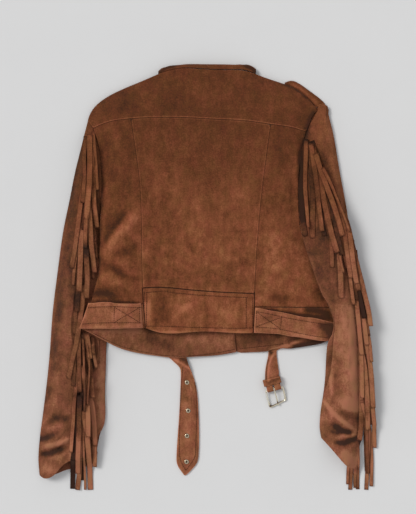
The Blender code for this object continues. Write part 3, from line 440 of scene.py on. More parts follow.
# painted light of the folds: crests painted lighter and hollows darker, partly worn nap and partly painted
# shade
FOLD_SHADE = 0.09        # how much lighter the nap reads for each mm that a fold rises
# how far the turned edge under a panel shows beside its seams, as a ridge in the bump and a painted highlight
SEAM_RIDGES = {"back_yoke": 1.0, "back_centre": 0.4}
for node in BACK:
    points = points_of(cloth[node].data)
    folds = near_lines(points, BACK_FOLDS)
    points[:, 2] += folds + 0.55 * ripple(points, 46, 3) + 0.28 * ripple(points, 17, 4)
    move_points(cloth[node].data, points)
    set_values(cloth[node], "tone", near_lines(points, BACK_TONES) + FOLD_SHADE * folds)
    set_values(cloth[node], "fold", np.full(len(points), SEAM_RIDGES.get(node, 0.0)))

SEAM_REACH = 2.7         # mm: a rim this near another piece's rim is a seam, elsewhere it is a free edge
RIM_REACH = 8            # mm that a seam or a rim is felt over


def mark_rims(pieces, others=()):
    """Gives each piece its 'seam' and 'rim': the reach less the distance to the nearest of each kind."""
    rims = {name: rim_points(made.data) for name, made in pieces.items()}
    rims.update({made.name: rim_points(made.data) for made in others})
    trees = {name: tree_of(points) for name, points in rims.items()}
    for name, made in pieces.items():
        joined = np.array([min(trees[other].find(point)[2] for other in trees if other != name) < SEAM_REACH
                           for point in rims[name]])
        points = points_of(made.data)
        for kind, chosen in (("seam", rims[name][joined]), ("rim", rims[name][~joined])):
            near = np.zeros(len(points))
            if len(chosen):
                tree = tree_of(chosen)
                near = np.clip(RIM_REACH - np.array([tree.find(point)[2] for point in points]), 0, RIM_REACH)
            set_values(made, kind, near)


mark_rims(cloth)


def close_seams(pieces, reach=1.4):
    """Brings facing rims that are within a reach in mm together, each by half the gap."""
    trees = {made.name: tree_of(rim_points(made.data)) for made in pieces}
    for made in pieces:
        points = points_of(made.data)
        for number in rim_corners(made.data):
            found = min((tree.find(points[number]) for name, tree in trees.items() if name != made.name),
                        key=lambda near: near[2])
            if found[2] < reach:
                points[number] = (points[number] + np.array(found[0])) / 2
        move_points(made.data, points)


def pull(made, line, reach, by):
    """Eases a piece's points within a reach of a line on the plan, by mm along X, Y and Z."""
    points = points_of(made.data)
    move_points(made.data, points + near_lines(points, ((1, reach, line),))[:, None] * np.array(by))


# the bands' lower edges sag a little
pull(cloth["waistband"], ((-115.6, -91), (-73.1, -91), (-13.6, -92.6), (79.9, -91)), 7, (0, -2, 0))
pull(cloth["hem_band_left"], ((-210.8, -89.2), (-166.6, -91), (-105.4, -91)), 7, (0, -0.6, 0))
PANELS = [cloth[node] for node in ("back_yoke", "back_centre", "back_side_left", "back_side_right")]
close_seams(PANELS)


def dress(made, node, finish, slot, flat, area, rests_on=("board",), with_pieces=()):
    """Puts a finished piece in its node's place, on the jacket."""
    made.data.materials.clear()
    made.data.materials.append(finish)
    made.data.shade_smooth()
    made.data.set_sharp_from_angle(angle=math.radians(50))
    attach(made, "root")
    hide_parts(node)
    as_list(rests_on)
    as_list(with_pieces)


# each panel's cut: width and length in metres, area in square metres
BACK_CUTS = {
    "back_yoke": ((0.398, 0.112), 0.0286), "back_centre": ((0.239, 0.301), 0.0616),
    "back_side_left": ((0.092, 0.316), 0.0228), "back_side_right": ((0.132, 0.314), 0.0254),
    "waistband": ((0.192, 0.080), 0.0135), "hem_band_left": ((0.110, 0.046), 0.0046),
    "hem_band_right": ((0.143, 0.057), 0.0070),
}
for node, (flat, area) in BACK_CUTS.items():
    dress(cloth[node], node, SUEDE, "suede", flat, area)


# The sleeves: two long panels each, the upper one showing, sewn along both
# sides and eased into the armhole. They lie slack, so the upper panel crushes
# into short folds near the cuff.

# folds of the sleeves: rise in mm, reach, line
LEFT_FOLDS = (
    (-2.4, 5, ((-275.4, -249), (-258.4, -242.2), (-234.6, -237.2))),
    (2.0, 5, ((-278.8, -259.2), (-258.4, -254.2), (-234.6, -249))),
    (-2.2, 4, ((-290.7, -277.9), (-275.4, -273.7), (-260.1, -266.1))),
    (2.4, 5, ((-280.5, -289.8), (-263.5, -284.8), (-244.8, -279.6), (-234.6, -276.2))),
    (-2.4, 5, ((-289, -303.4), (-272, -300.1), (-255, -294.1), (-241.4, -289))),
    (1.6, 4, ((-275.4, -308.6), (-255, -303.4), (-234.6, -296.6))),
    (1.2, (7, 5), ((-204, 281.3), (-214.2, 233.8), (-224.4, 165.8), (-231.2, 106.2))),
    (-1.2, 6, ((-214.2, 242.2), (-224.4, 182.8), (-232.9, 131.8))),
    (1.4, 6, ((-248.2, -38.2), (-251.6, -89.2), (-255, -140.2))),
    (-1.2, 5, ((-261.8, -89.2), (-263.5, -140.2), (-268.6, -194.7))),
    (-1.4, (6, 5), ((-265.2, -191.2), (-251.6, -204.8), (-241.4, -215))),
    (1.1, 6, ((-241.4, 97.8), (-246.5, 46.8), (-248.2, -4.2))),
)
RIGHT_FOLDS = (
    (2.2, 5, ((197.2, -209.9), (210.8, -228.7), (227.8, -243.9), (248.2, -257.6))),
    (-2.4, (5, 4), ((209.1, -247.3), (224.4, -259.2), (248.2, -269.4))),
    (-2.2, 4, ((217.6, -271.1), (238, -276.2), (265.2, -283.1))),
    (2.2, 4, ((244.8, -286.4), (265.2, -276.2), (278.8, -269.4))),
    (-1.8, 5, ((224.4, -228.7), (241.4, -237.2), (263.5, -245.7))),
    (1.6, 5, ((207.4, -114.8), (210.8, -157.2), (214.2, -194.7))),
    (-1.3, 5, ((221, -126.6), (226.1, -167.4), (229.5, -204.8))),
    (1.1, 6, ((241.4, -89.2), (246.5, -126.6), (251.6, -160.7))),
    (1.4, (5, 7), ((187, 281.3), (178.5, 267.8), (176.8, 243.9))),
    (1.2, 7, ((204, 264.3), (212.5, 216.8), (221, 165.8))),
    (-1.1, (5, 6), ((195.5, 271.1), (202.3, 230.3), (209.1, 189.5))),
    (-1.2, 6, ((171.7, 53.5), (187, 12.8), (200.6, -24.6))),
)
# nap lying darker or lighter on both sleeves, with painted shade under the fringe and along the edges and
# painted highlights on their lit sides
SLEEVE_TONES = (
    (-0.26, 11, ((-210.8, 250.8), (-227.8, 148.8), (-241.4, 46.8), (-253.3, -46.8), (-263.5, -157.2))),
    (-0.3, 6, ((-249.9, -38.2), (-253.3, -80.8))),
    (-0.22, 12, ((-198.9, 216.8), (-204, 97.8), (-214.2, -4.2), (-214.2, -106.2))),
    (-0.6, 11, ((-217.6, -114.8), (-214.2, -191.2), (-210.8, -259.2), (-207.4, -318.8))),
    (0.35, 7, ((-181.9, -114.8), (-181.9, -208.2), (-181.9, -259.2))),
    (-0.6, 7, ((-204, -102.8), (-197.2, -123.2), (-195.5, -160.7))),
    (0.28, 5, ((212.5, 281.3), (224.4, 233.8), (234.6, 182.8), (244.8, 123.2))),
    (-0.45, 6, ((-290.7, -277.9), (-275.4, -273.7), (-260.1, -266.1))),
    (-0.5, 6, ((-289, -303.4), (-272, -300.1), (-255, -294.1), (-241.4, -289))),
    (-0.25, 5, ((-268.6, -238.8), (-251.6, -237.2), (-238, -240.5))),
    (0.26, 8, ((-282.2, -323.8), (-265.2, -328.9))),
    (0.35, 5, ((-280.5, -289.8), (-263.5, -284.8), (-244.8, -279.6), (-234.6, -276.2))),
    (0.14, 8, ((-272, -215), (-251.6, -198))),
    (-0.2, 10, ((-251.6, -106.2), (-258.4, -160.7))),
    (0.3, 13, ((187, 271.1), (198.9, 230.3), (212.5, 179.3), (224.4, 131.8))),
    (-0.3, 5, ((193.8, 216.8), (202.3, 189.5), (217.6, 148.8))),
    (-0.45, 12, ((175.1, 216.8), (187, 157.2), (200.6, 106.2))),
    (-0.24, 20, ((185.3, 89.2), (193.8, 33.1), (200.6, -7.6))),
    (0.2, 10, ((238, 118.1), (248.2, 89.2))),
    (0.3, 20, ((229.5, -38.2), (232.9, -114.8), (236.3, -199.8))),
    (0.45, 8, ((244.8, -46.8), (248.2, -114.8), (251.6, -199.8), (255, -228.7))),
    (-0.22, 5, ((215.9, -160.7), (219.3, -208.2))),
    (0.3, 2.5, ((209.1, -164), (209.9, -199.8))),
    (-0.12, 8, ((224.4, -136.8), (227.8, -170.8))),
    (-0.14, 5, ((217.6, -228.7), (238, -232), (258.4, -235.4))),
    (0.8, 9, ((227.8, -211.7), (255, -221.8))),
    (-0.35, 7, ((214.2, 67.1), (221, 21.2), (224.4, -24.6))),
    (-0.35, 6, ((-234.6, 33.1), (-231.2, -12.8), (-227.8, -41.6))),
    (-1.1, 4.5, ((214.2, -250.8), (224.4, -259.2), (241.4, -264.3), (246.5, -264.3))),
    (-1.0, (3.5, 4), ((215.9, -279.6), (231.2, -281.3), (244.8, -276.2), (260.1, -271.1))),
    (0.5, 4, ((214.2, -272.8), (232.9, -269.4), (255, -266.1))),
    (0.6, 12, ((224.4, -293.2), (244.8, -313.6), (248.2, -327.2))),
    (0.42, 3, ((197.2, -209.9), (209.1, -226.9), (226.1, -242.2), (244.8, -255.8), (251.6, -260.9))),
    (0.6, 5, ((261.8, -238.8), (255, -249), (255, -266.1))),
    (0.16, 7, ((192.1, -235.4), (214.2, -249))),
    (-0.25, 6, ((-244.8, -238.8), (-238, -272.8))),
    (0.4, 5, ((-232.9, -289.8), (-231.2, -310.2))),
    (-0.4, 5, ((175.1, 264.3), (168.3, 243.9), (161.5, 230.3))),
    (-0.4, 4, ((207.4, -260.9), (224.4, -266.1))),
    (-0.3, 8, ((-273.7, -182.8), (-278.8, -216.8))),
    (-0.2, 7, ((190.4, 70.5), (214.2, 67.1))),
    (-0.3, 9, ((204, -12.8), (212.5, -46.8))),
    (0.22, 8, ((190.4, 288.1), (204, 259.2), (214.2, 230.3))),
    (-0.7, 4, ((158.1, 220.2), (157.2, 148.8), (159.8, 94.3))),
    (-1.0, 5, ((260.1, -228.7), (256.7, -249), (261.8, -286.4))),
)
SLEEVES = {"sleeve_left": (LEFT_FOLDS, 11), "sleeve_right": (RIGHT_FOLDS, 12)}
SUEDE_SLEEVE = suede("sleeve suede", (0.042, 0.018, 0.0115), (0.11, 0.0375, 0.0178), (0.2, 0.0695, 0.0345),
                     (0.34, 0.136, 0.073), rosy=1.0)
arms = {node: rounded(node, 3) for node in SLEEVES}
for node, (table, seed) in SLEEVES.items():
    points = points_of(arms[node].data)
    folds = near_lines(points, table)
    # less and less over the last 8 mm above the board
    points[:, 2] += ((folds + 0.6 * ripple(points, 38, seed) + 0.3 * ripple(points, 15, seed + 20))
                     * np.clip(points[:, 2] / 8, 0, 1))
    move_points(arms[node].data, points)
    set_values(arms[node], "tone", near_lines(points, SLEEVE_TONES) + FOLD_SHADE * folds)
for node in ("sleeve_right", "sleeve_left"):
    close_seams(PANELS + [arms[node]], 2.6)

# the right sleeve's head is eased up to the epaulette
pull(arms["sleeve_right"], ((188.7, 284.8), (198.9, 293.2)), 7, (-3.6, 5, 0.4))
pull(arms["sleeve_right"], ((188.7, 284.8), (178.5, 272.8), (173.4, 254.2), (171.7, 238.8)), 4,
     (-1.4, 0.6, -0.3))

unders = {node: rounded(node, 2) for node in ("sleeve_left_under", "sleeve_right_under")}
# both layers of a sleeve are drawn in together at the elbow, beside the strap and at the cuff
for made in (arms["sleeve_right"], unders["sleeve_right_under"]):
    pull(made, ((241.4, 101.1), (253.3, 63.8), (256.7, 36.5)), 8, (-5, 0, 0))
    pull(made, ((198.9, -31.4), (207.4, -65.5), (209.1, -96)), 8, (5, 0, 0))
pull(unders["sleeve_right_under"], ((202.3, -62), (204, -82.5), (202.3, -104.5)), 7, (6, 0, 0))
for made in (arms["sleeve_left"], unders["sleeve_left_under"]):
    pull(made, ((-176.8, -262.6), (-181.9, -283.1), (-185.3, -300.1)), 7, (-3.4, 0, 0))
mark_rims(arms, list(unders.values()) + list(cloth.values()))
mark_rims(unders, arms.values())

SLEEVE_CUTS = {
    "sleeve_left": ((0.140, 0.612), 0.0532), "sleeve_right": ((0.130, 0.620), 0.0486),
    "sleeve_left_under": ((0.130, 0.608), 0.0486), "sleeve_right_under": ((0.118, 0.620), 0.0424),
}
for made in unders.values():
    set_values(made, "tone", near_lines(points_of(made.data), SLEEVE_TONES) - 0.1)
for node, made in {**arms, **unders}.items():
    dress(made, node, SUEDE_SLEEVE, "suede", *SLEEVE_CUTS[node])


# The fronts: the same suede seen from its inner, rougher side where the hem
# opens below the back. A turned hem is stitched all round.
SUEDE_INSIDE = suede("inner suede", (0.045, 0.018, 0.0105), (0.105, 0.036, 0.0165), (0.19, 0.066, 0.032),
                     (0.32, 0.122, 0.064), 1.4, 0.3)
# nap lying darker or lighter inside the fronts, with painted shade under the straps and the waistband
# and a painted highlight along the turned hem
FRONT_TONES = (
    (0.26, 10, ((-44.2, -108), (40.8, -108))),
    (-1.2, 6, ((142.8, -120.7), (156.4, -117.3), (176.8, -113), (200.6, -108))),
    (-0.3, 11, ((85, -106.2), (125.8, -101.1))),
    (-0.35, 5, ((134.3, -108), (149.6, -106.2), (166.6, -103.7))),
    (1.0, 2, ((102, -125.8), (119, -121.5), (139.4, -113.9), (154.7, -108), (166.6, -105.4))),
    (-0.5, 4, ((-110.5, -87.5), (-88.4, -91), (-71.4, -91.8))),
    (-0.22, 10, ((59.5, -109.6), (91.8, -108))),
    (-0.24, 8, ((8.5, -99.5), (10.2, -119.8))),
    (0.25, 7, ((32.3, -101.1), (39.1, -119.8))),
    (-0.2, 8, ((-105.4, -96), (-85, -106.2))),
    (0.36, 2.6, ((-212.5, -89.2), (-195.5, -97.8), (-176.8, -106.2), (-139.4, -125), (-73.1, -136.8),
        (-13.6, -136.8))),
    (0.15, 6, ((-187, -96), (-149.6, -99.5), (-115.6, -99.5))),
    (0.5, 4, ((-204, -91), (-166.6, -91), (-105.4, -91.8))),
    (-0.25, 9, ((-105.4, -102.8), (-73.1, -114.8), (-51, -126.6))),
)
fronts = {node: rounded(node, 3) for node in ("front_left", "front_right")}
for seed, made in enumerate(fronts.values()):
    points = points_of(made.data)
    points[:, 2] += 0.4 * (1 + ripple(points, 44, 31 + seed)) * np.clip(points[:, 2] - 1, 0, 1)
    move_points(made.data, points)
    set_values(made, "tone", near_lines(points, FRONT_TONES))
# the hem hangs lower under the waistband than beside it
pull(fronts["front_right"], ((47.6, -126.6), (74.8, -128.3), (108.8, -126.6)), 9, (0, -4.2, 0))
pull(fronts["front_left"], ((-187, -104.5), (-139.4, -128.3), (-81.6, -140.2), (-13.6, -140.2), (47.6, -130)),
     8, (0, -1.8, 0))
pull(fronts["front_right"], ((129.2, -123.2), (164.9, -116.5), (202.3, -108)), 9, (0, -3, 0))
mark_rims(fronts)
FRONT_CUTS = {"front_left": ((0.264, 0.481), 0.0945), "front_right": ((0.259, 0.476), 0.0855)}
for node, made in fronts.items():
    dress(made, node, SUEDE_INSIDE, "suede_inside", *FRONT_CUTS[node])


# The collar and the epaulettes: doubled suede, turned at the edges. The collar
# rolls over the back of the neck; each epaulette is sewn in at the armhole.
trims = {node: rounded(node, 3) for node in ("collar", "epaulette_left", "epaulette_right")}
# the collar's folded edge runs out to square shoulders at both ends
points = points_of(trims["collar"].data)
ends = np.interp(points[:, 0], (-87, -80, -74, -66, -50, 46, 58, 66, 74, 82, 88),
                 (-0.7, 0.7, 1, 1, 0, 0, 0.6, 1.2, 1.4, 1.0, -0.3))
roll = np.interp(points[:, 0], (-85, -73, -56, 12, 60, 85), (347, 354, 358, 351, 358, 347))
points[:, 1] += 3.4 * ends * np.clip((points[:, 1] - roll) / 5, 0, 1)
move_points(trims["collar"].data, points)
# the right epaulette follows the shoulder out to the sleeve's head
pull(trims["epaulette_right"], ((130.9, 330.6), (156.4, 318.8), (198.9, 289.8)), 30, (1.5, 2.4, 0))
pull(arms["sleeve_right"], ((197.2, 296.6), (205.7, 281.3)), 6, (3, 0.8, 0))
pull(cloth["back_yoke"], ((180.2, 291.6), (185.3, 286.4)), 4, (1.4, 0.6, 0))
close_seams([trims["epaulette_right"], arms["sleeve_right"]], 5.0)
# painted shade at the collar's ends and along the epaulette under the yoke's edge, and a painted highlight
# on the epaulette's rim
TRIM_TONES = (
    (-0.45, (2.5, 3), ((-86.7, 347.6), (-78.2, 353.6), (-68, 358.7), (-54.4, 361.2))),
    (-0.7, 3, ((61.2, 362.1), (73.1, 357.8), (83.3, 349.3))),
    (-0.55, 3, ((132.6, 328.9), (149.6, 321.3), (163.2, 311.9), (176.8, 296.6), (187, 284.8))),
    (0.35, 4, ((139.4, 332.3), (156.4, 323.8), (173.4, 310.2), (190.4, 293.2))),
)
for made in trims.values():
    set_values(made, "tone", near_lines(points_of(made.data), TRIM_TONES))
mark_rims(trims, [cloth["back_yoke"]])
TRIM_CUTS = {"collar": ((0.168, 0.034), 0.0038), "epaulette_left": ((0.118, 0.029), 0.0031),
             "epaulette_right": ((0.076, 0.026), 0.0018)}
for node, made in trims.items():
    dress(made, node, SUEDE, "suede", *TRIM_CUTS[node])


# The belt: two straps of doubled suede sewn to the waistband's ends. Both run
# round the sides to the front and hang below the hem. Edge stitched all along.
SUEDE_BELT = suede("belt suede", (0.06, 0.022, 0.0115), (0.14, 0.047, 0.021), (0.25, 0.086, 0.041),
                   (0.4, 0.15, 0.08), 0.8, 0.42)
# nap lying darker or lighter on the straps, with painted highlights along their edges and painted shade where
# they lie in shadow
BELT_TONES = (
    (0.16, 10, ((-176.8, -58.6), (-122.4, -68.8))),
    (0.3, 4, ((-207.4, -85.8), (-166.6, -84.1), (-113.9, -84.1))),
    (0.34, 4, ((127.5, -94.3), (164.9, -101.1), (198.9, -106.2))),
    (-0.7, 12, ((209.1, -75.6), (209.1, -106.2))),
    (-0.4, 8, ((188.7, -80.8), (207.4, -89.2))),
    (-0.1, 5, ((129.2, -65.5), (149.6, -72.2), (166.6, -75.6))),
    (-0.2, 5, ((91.8, -65.5), (108.8, -75.6))),
    (0.2, 3, ((-197.2, -45.9), (-113.9, -47.6))),
    (0.5, 3, ((-112.2, -48.4), (-112.2, -85.8))),
    (0.12, 8, ((-37.4, -208.2), (-30.6, -276.2))),
    (0.6, 1.8, ((115.6, -128.3), (108.8, -136.8), (104.5, -147), (103, -160.7), (102.3, -181))),
    (-0.5, 1.8, ((102.8, -140.2), (100.3, -153.8), (99.1, -181))),
    (-0.9, 3, ((105.4, -126.6), (109.6, -130))),
    (-0.6, 4, ((-49.3, -138.5), (-37.4, -141.9), (-30.6, -150.4))),
    (0.4, 2, ((-64.6, -136), (-45.9, -147), (-30.6, -156.4), (-22.9, -170.8))),
    (-0.3, 3, ((-37.4, -204.8), (-22.1, -211.7), (-20.4, -233.8))),
    (-0.4, 3, ((100.3, -181), (112.2, -175.9), (124.1, -170))),
)
belts = {node: rounded(node, 2) for node in ("belt_left", "belt_right", "belt_keeper")}
# the slot that the prong passes through is cut narrow: way runs along the buckle's bar, and away runs from
# the bar to the frame's far side
BUCKLE_BAR = 112.9, -190.2
way, away = np.array((0.9655, 0.2605)), np.array((0.2605, -0.9655))
points = points_of(belts["belt_right"].data)
along, beyond = ((points[:, :2] - BUCKLE_BAR) @ axis for axis in (way, away))
# mm from the bar's middle before and after
narrow = np.interp(np.abs(along), (0, 3, 8, 22), (0, 1.5, 7.4, 22)) - np.abs(along)
points[:, :2] += (narrow * np.sign(along) * np.clip((beyond + 12) / 4, 0, 1))[:, None] * way
move_points(belts["belt_right"].data, points)
mark_rims(belts)
BELT_CUTS = {"belt_left": ((0.044, 0.490), 0.0178), "belt_right": ((0.044, 0.360), 0.0105),
             "belt_keeper": ((0.011, 0.088), 0.0009)}
# where they are sewn down, the straps sag like the bands under them
pull(belts["belt_left"], ((-163.2, -42.5), (-141.1, -42.5), (-112.2, -41.6)), 5, (0, -2.4, 0))
pull(belts["belt_right"], ((95.2, -51), (113.9, -52.7), (129.2, -56.1), (147.9, -60.4), (173.4, -67.1)),
     6, (0, -2.7, 0))
pull(belts["belt_right"], ((127.5, -97.8), (156.4, -102), (187, -106.2), (209.1, -108)), 5, (0, -3.4, 0))
for node, made in belts.items():
    set_values(made, "tone", near_lines(points_of(made.data), BELT_TONES))
    dress(made, node, SUEDE_BELT, "suede_belt", *BELT_CUTS[node])


# The fringe: strips about 9 mm wide cut down from a narrow backing that is
# caught in the sleeve's back seam. They hang down the arm in layers, the lowest
# first, and each one leans, bows and turns on its edge in its own way.
# its cut rims are painted dark, a painted shade between the strips
SUEDE_FRINGE = suede("fringe suede", (0.034, 0.0142, 0.0088), (0.098, 0.034, 0.0155), (0.19, 0.0665, 0.032),
                     (0.32, 0.125, 0.064), 0.9, 0.0, 0.7, 1.0)


def new_tree(name, **inputs):
    """Starts a tree with inputs of the kinds given. Gives the inputs' sockets, a function that adds a node
    with its settings and with values or links for its inputs, and a function that ends the tree."""
    tree = bpy.data.node_groups.new(name, "GeometryNodeTree")
    for socket, kind in inputs.items():
        tree.interface.new_socket(socket, in_out="INPUT", socket_type="NodeSocket" + kind)
    tree.interface.new_socket("Made", in_out="OUTPUT", socket_type="NodeSocketGeometry")

    def step(kind, settings=None, **inputs):
        made = tree.nodes.new(kind)
        for key, value in (settings or {}).items():
            setattr(made, key, value)
        for key, value in inputs.items():
            socket = made.inputs[key.replace("_", " ")]
            if isinstance(value, bpy.types.NodeSocket):
                tree.links.new(value, socket)
            else:
                socket.default_value = value
        return made.outputs

    def end(pieces, finish):
        real = step("GeometryNodeRealizeInstances", Geometry=pieces)
        dyed = step("GeometryNodeSetMaterial", Geometry=real["Geometry"], Material=finish)
        step("NodeGroupOutput", Made=dyed["Geometry"])
        return tree

    return step("NodeGroupInput"), step, end


def strip_tree():
    """Sweeps flat strips along lines that carry each point's width in metres and its bank in radians."""
    given, step, end = new_tree("cut strips", Lines="Geometry", Section="Object", Finish="Material")
    bank, width = (step("GeometryNodeInputNamedAttribute", {"data_type": "FLOAT"}, Name=kind)["Attribute"]
                   for kind in ("bank", "width"))
    runs = step("GeometryNodeMeshToCurve", Mesh=given["Lines"])
    upright = step("GeometryNodeSetCurveNormal", {"mode": "Z_UP"}, Curve=runs["Curve"])
    banked = step("GeometryNodeSetCurveTilt", Curve=upright["Curve"], Tilt=bank)
    section = step("GeometryNodeObjectInfo", Object=given["Section"])
    outline = step("GeometryNodeMeshToCurve", Mesh=section["Geometry"])
    swept = step("GeometryNodeCurveToMesh", Curve=banked["Curve"], Profile_Curve=outline["Curve"],
                 Scale=width, Fill_Caps=True)
    return end(swept["Mesh"], given["Finish"])


STRIPS = strip_tree()
# a strip's section across a width of 1: a little crowned, thinner at its cut edges
SECTION = ((-0.5, -0.06), (-0.5, 0.045), (-0.46, 0.06), (-0.25, 0.068), (0, 0.07), (0.25, 0.068),
           (0.46, 0.06), (0.5, 0.045), (0.5, -0.06), (0.25, -0.05), (0, -0.048), (-0.25, -0.05))
section_mesh = bpy.data.meshes.new("strip section")
section_mesh.from_pydata([(x, y, 0) for x, y in SECTION],
                         [(k, (k + 1) % len(SECTION)) for k in range(len(SECTION))], [])
STRIP_SECTION = bpy.data.objects.new("strip section", section_mesh)


def grow(tree, lines, settings, name):
    """Runs a tree on an object of lines and keeps what it makes as a plain mesh."""
    made = bpy.data.objects.new(name, lines)
    bpy.context.scene.collection.objects.link(made)
    grown = made.modifiers.new("grown", "NODES")
    grown.node_group = tree
    for socket in tree.interface.items_tree:
        if socket.in_out == "INPUT" and socket.name in settings:
            grown[socket.identifier] = settings[socket.name]
    mesh = bpy.data.meshes.new_from_object(made.evaluated_get(bpy.context.evaluated_depsgraph_get()))
    made.modifiers.clear()
    made.data = mesh
    return made


def surface_of(pieces):
    """What some pieces offer to a fall from above."""
    points, faces = [], []
    for made in pieces:
        start = len(points)
        points += [tuple(point) for point in points_of(made.data)]
        faces += [tuple(start + k for k in face.vertices) for face in made.data.polygons]
    return BVHTree.FromPolygons(points, faces)


def height_on(surface, x, y):
    """The height in mm at which a fall on a place on the plan ends, or None off the surface."""
    hit = surface.ray_cast((x, y, 200), (0, 0, -1))[0]
    return None if hit is None else hit.z


class Bed:
    """What the strips come down on: the sleeves, and the strips that already lie there."""

    CELL = 1.5           # mm
    COLUMNS, ROWS = 420, 520
    MIDDLE = 210, 250
    STEP = 5.5           # mm between the points of a strip's middle
    CLEAR = 0.35         # mm kept free under a strip
    UNDER, OVER = 0.065, 0.07    # what of a strip is under and over its middle, as shares of its width
    ON_EDGE = 0.42       # how much higher it lies when turned on its edge, as a share of its width
    SAG = 0.5            # mm that it may sink in between

    def __init__(self, pieces):
        self.surface = surface_of(pieces)
        self.heap = np.zeros((self.COLUMNS, self.ROWS))

    def cell(self, x, y):
        return (np.clip(np.round(x / self.CELL).astype(int) + self.MIDDLE[0], 0, self.COLUMNS - 1),
                np.clip(np.round(y / self.CELL).astype(int) + self.MIDDLE[1], 0, self.ROWS - 1))

    def height(self, x, y):
        return max(height_on(self.surface, x, y) or 0.0, self.heap[self.cell(np.float64(x), np.float64(y))])

    def lay(self, line, width, banks):
        """The points of a strip's middle, eased down on what is under it; its top joins the heap."""
        line = np.array(line, float)
        run = np.concatenate(([0], np.cumsum(np.linalg.norm(np.diff(line, axis=0), axis=1))))
        count = max(6, round(run[-1] / self.STEP))
        along = np.linspace(0, run[-1], count)
        flat = np.column_stack([np.interp(along, run, line[:, k]) for k in (0, 1)])
        for _ in range(3):
            flat[1:-1] = (flat[:-2] + 2 * flat[1:-1] + flat[2:]) / 4
        ahead = np.gradient(flat, axis=0)
        ahead /= np.linalg.norm(ahead, axis=1)[:, None]
        side = np.column_stack((-ahead[:, 1], ahead[:, 0]))
        bank = np.radians(np.interp(along / run[-1], np.linspace(0, 1, len(banks)), banks))
        lying = width / 2 * np.cos(bank)
        need = np.array([max(self.height(*(place + side[k] * lying[k] * share))
                             for share in (-0.9, -0.45, 0, 0.45, 0.9)) for k, place in enumerate(flat)])
        height = need + self.CLEAR + width * self.UNDER + np.abs(np.sin(bank)) * width * self.ON_EDGE
        floor = height.copy()
        for _ in range(7):
            eased = (height[:-2] + 2 * height[1:-1] + height[2:]) / 4
            height[1:-1] = np.maximum(floor[1:-1] - self.SAG, eased)
        for k, place in enumerate(flat):
            for share in np.linspace(-1, 1, 9):
                for step in (-1, 0, 1):
                    low = self.cell(*(place + side[k] * lying[k] * share + ahead[k] * step * self.CELL))
                    self.heap[low] = max(self.heap[low], height[k] + width * self.OVER)
        return np.column_stack((flat, height)), bank


# where the strips catch the light and where they lie in shade: amount, reach, line
FRINGE_TONES = (
    (0.2, 12, ((-197.2, 152.2), (-198.9, 94.3))),
    (0.22, 14, ((-195.5, -191.2), (-193.8, -259.2), (-197.2, -335.8))),
    (-0.35, 9, ((-219.3, -182.8), (-215.9, -225.2), (-212.5, -284.8))),
    (0.4, 6, ((-222.7, -262.6), (-220.2, -293.2), (-221.8, -344.2))),
    (-0.9, 4.5, ((251.6, -22.9), (258.4, -43.4), (265.2, -68.8))),
    (-0.4, 5, ((-234.6, 26.3), (-231.2, -12.8), (-227.8, -38.2))),
    (0.3, 22, ((258.4, -55.2), (265.2, -140.2), (268.6, -225.2))),
    (0.3, 14, ((268.6, -259.2), (265.2, -327.2))),
    (0.3, 12, ((241.4, -276.2), (248.2, -327.2))),
    (0.16, 12, ((232.9, 55.2), (241.4, 4.2), (244.8, -55.2))),
    (-0.3, 8, ((-222.7, -194.7), (-221, -218.4))),
    (-0.25, 12, ((173.4, 191.2), (183.6, 123.2))),
    (-0.9, 6, ((159.8, 238.8), (171.7, 235.4), (183.6, 230.3))),
    (-0.7, 4, ((158.1, 220.2), (157.2, 148.8), (159.8, 94.3))),
    (0.3, 6, ((-195.5, -140.2), (-193.8, -160.7))),
    (0.2, 8, ((-193.8, -199.8), (-192.1, -242.2), (-190.4, -283.1))),
    (0.3, 6, ((-229.5, -284.8), (-227.8, -310.2))),
    (-0.7, 5, ((-207.4, 56.9), (-207.4, 33.1))),
    (-0.4, 5, ((-221, -24.6), (-222.7, -56.9))),
    (-0.4, 4, ((-214.2, -106.2), (-215.9, -165.8))),
    (-0.4, 5, ((-197.2, -114.8), (-195.5, -131.8))),
    (-0.3, 4, ((-207.4, -170.8), (-209.1, -242.2))),
    (0.3, 6, ((-188.7, -199.8), (-188.7, -284.8))),
    (0.4, 7, ((256.7, -194.7), (256.7, -228.7))),
    (0.4, 6, ((272, -238.8), (280.5, -284.8))),
)


def fringe(name, bed, table, seed):
    """Strips of a table of width, shade, banks and line, laid in the table's order."""
    turn = np.random.default_rng(seed)
    points, edges, widths, banks, tones = [], [], [], [], []
    for width, shade, turned, line in table:
        middle, bank = bed.lay(line, width, turned)
        start = len(points)
        points += [tuple(point * MM) for point in middle]
        edges += [(start + k, start + k + 1) for k in range(len(middle) - 1)]
        widths += [width * MM] * len(middle)
        banks += list(bank + math.radians(turn.uniform(-4, 4)))
        tones += list(shade + 0.1 + turn.uniform(-0.13, 0.13) + near_lines(middle, FRINGE_TONES))
    lines = bpy.data.meshes.new(name + " lines")
    lines.from_pydata(points, edges, [])
    for kind, values in (("width", widths), ("bank", banks), ("tone", tones)):
        lines.attributes.new(kind, "FLOAT", "POINT").data.foreach_set("value", values)
    return grow(STRIPS, lines, {"Section": STRIP_SECTION, "Finish": SUEDE_FRINGE}, name + "_strips")


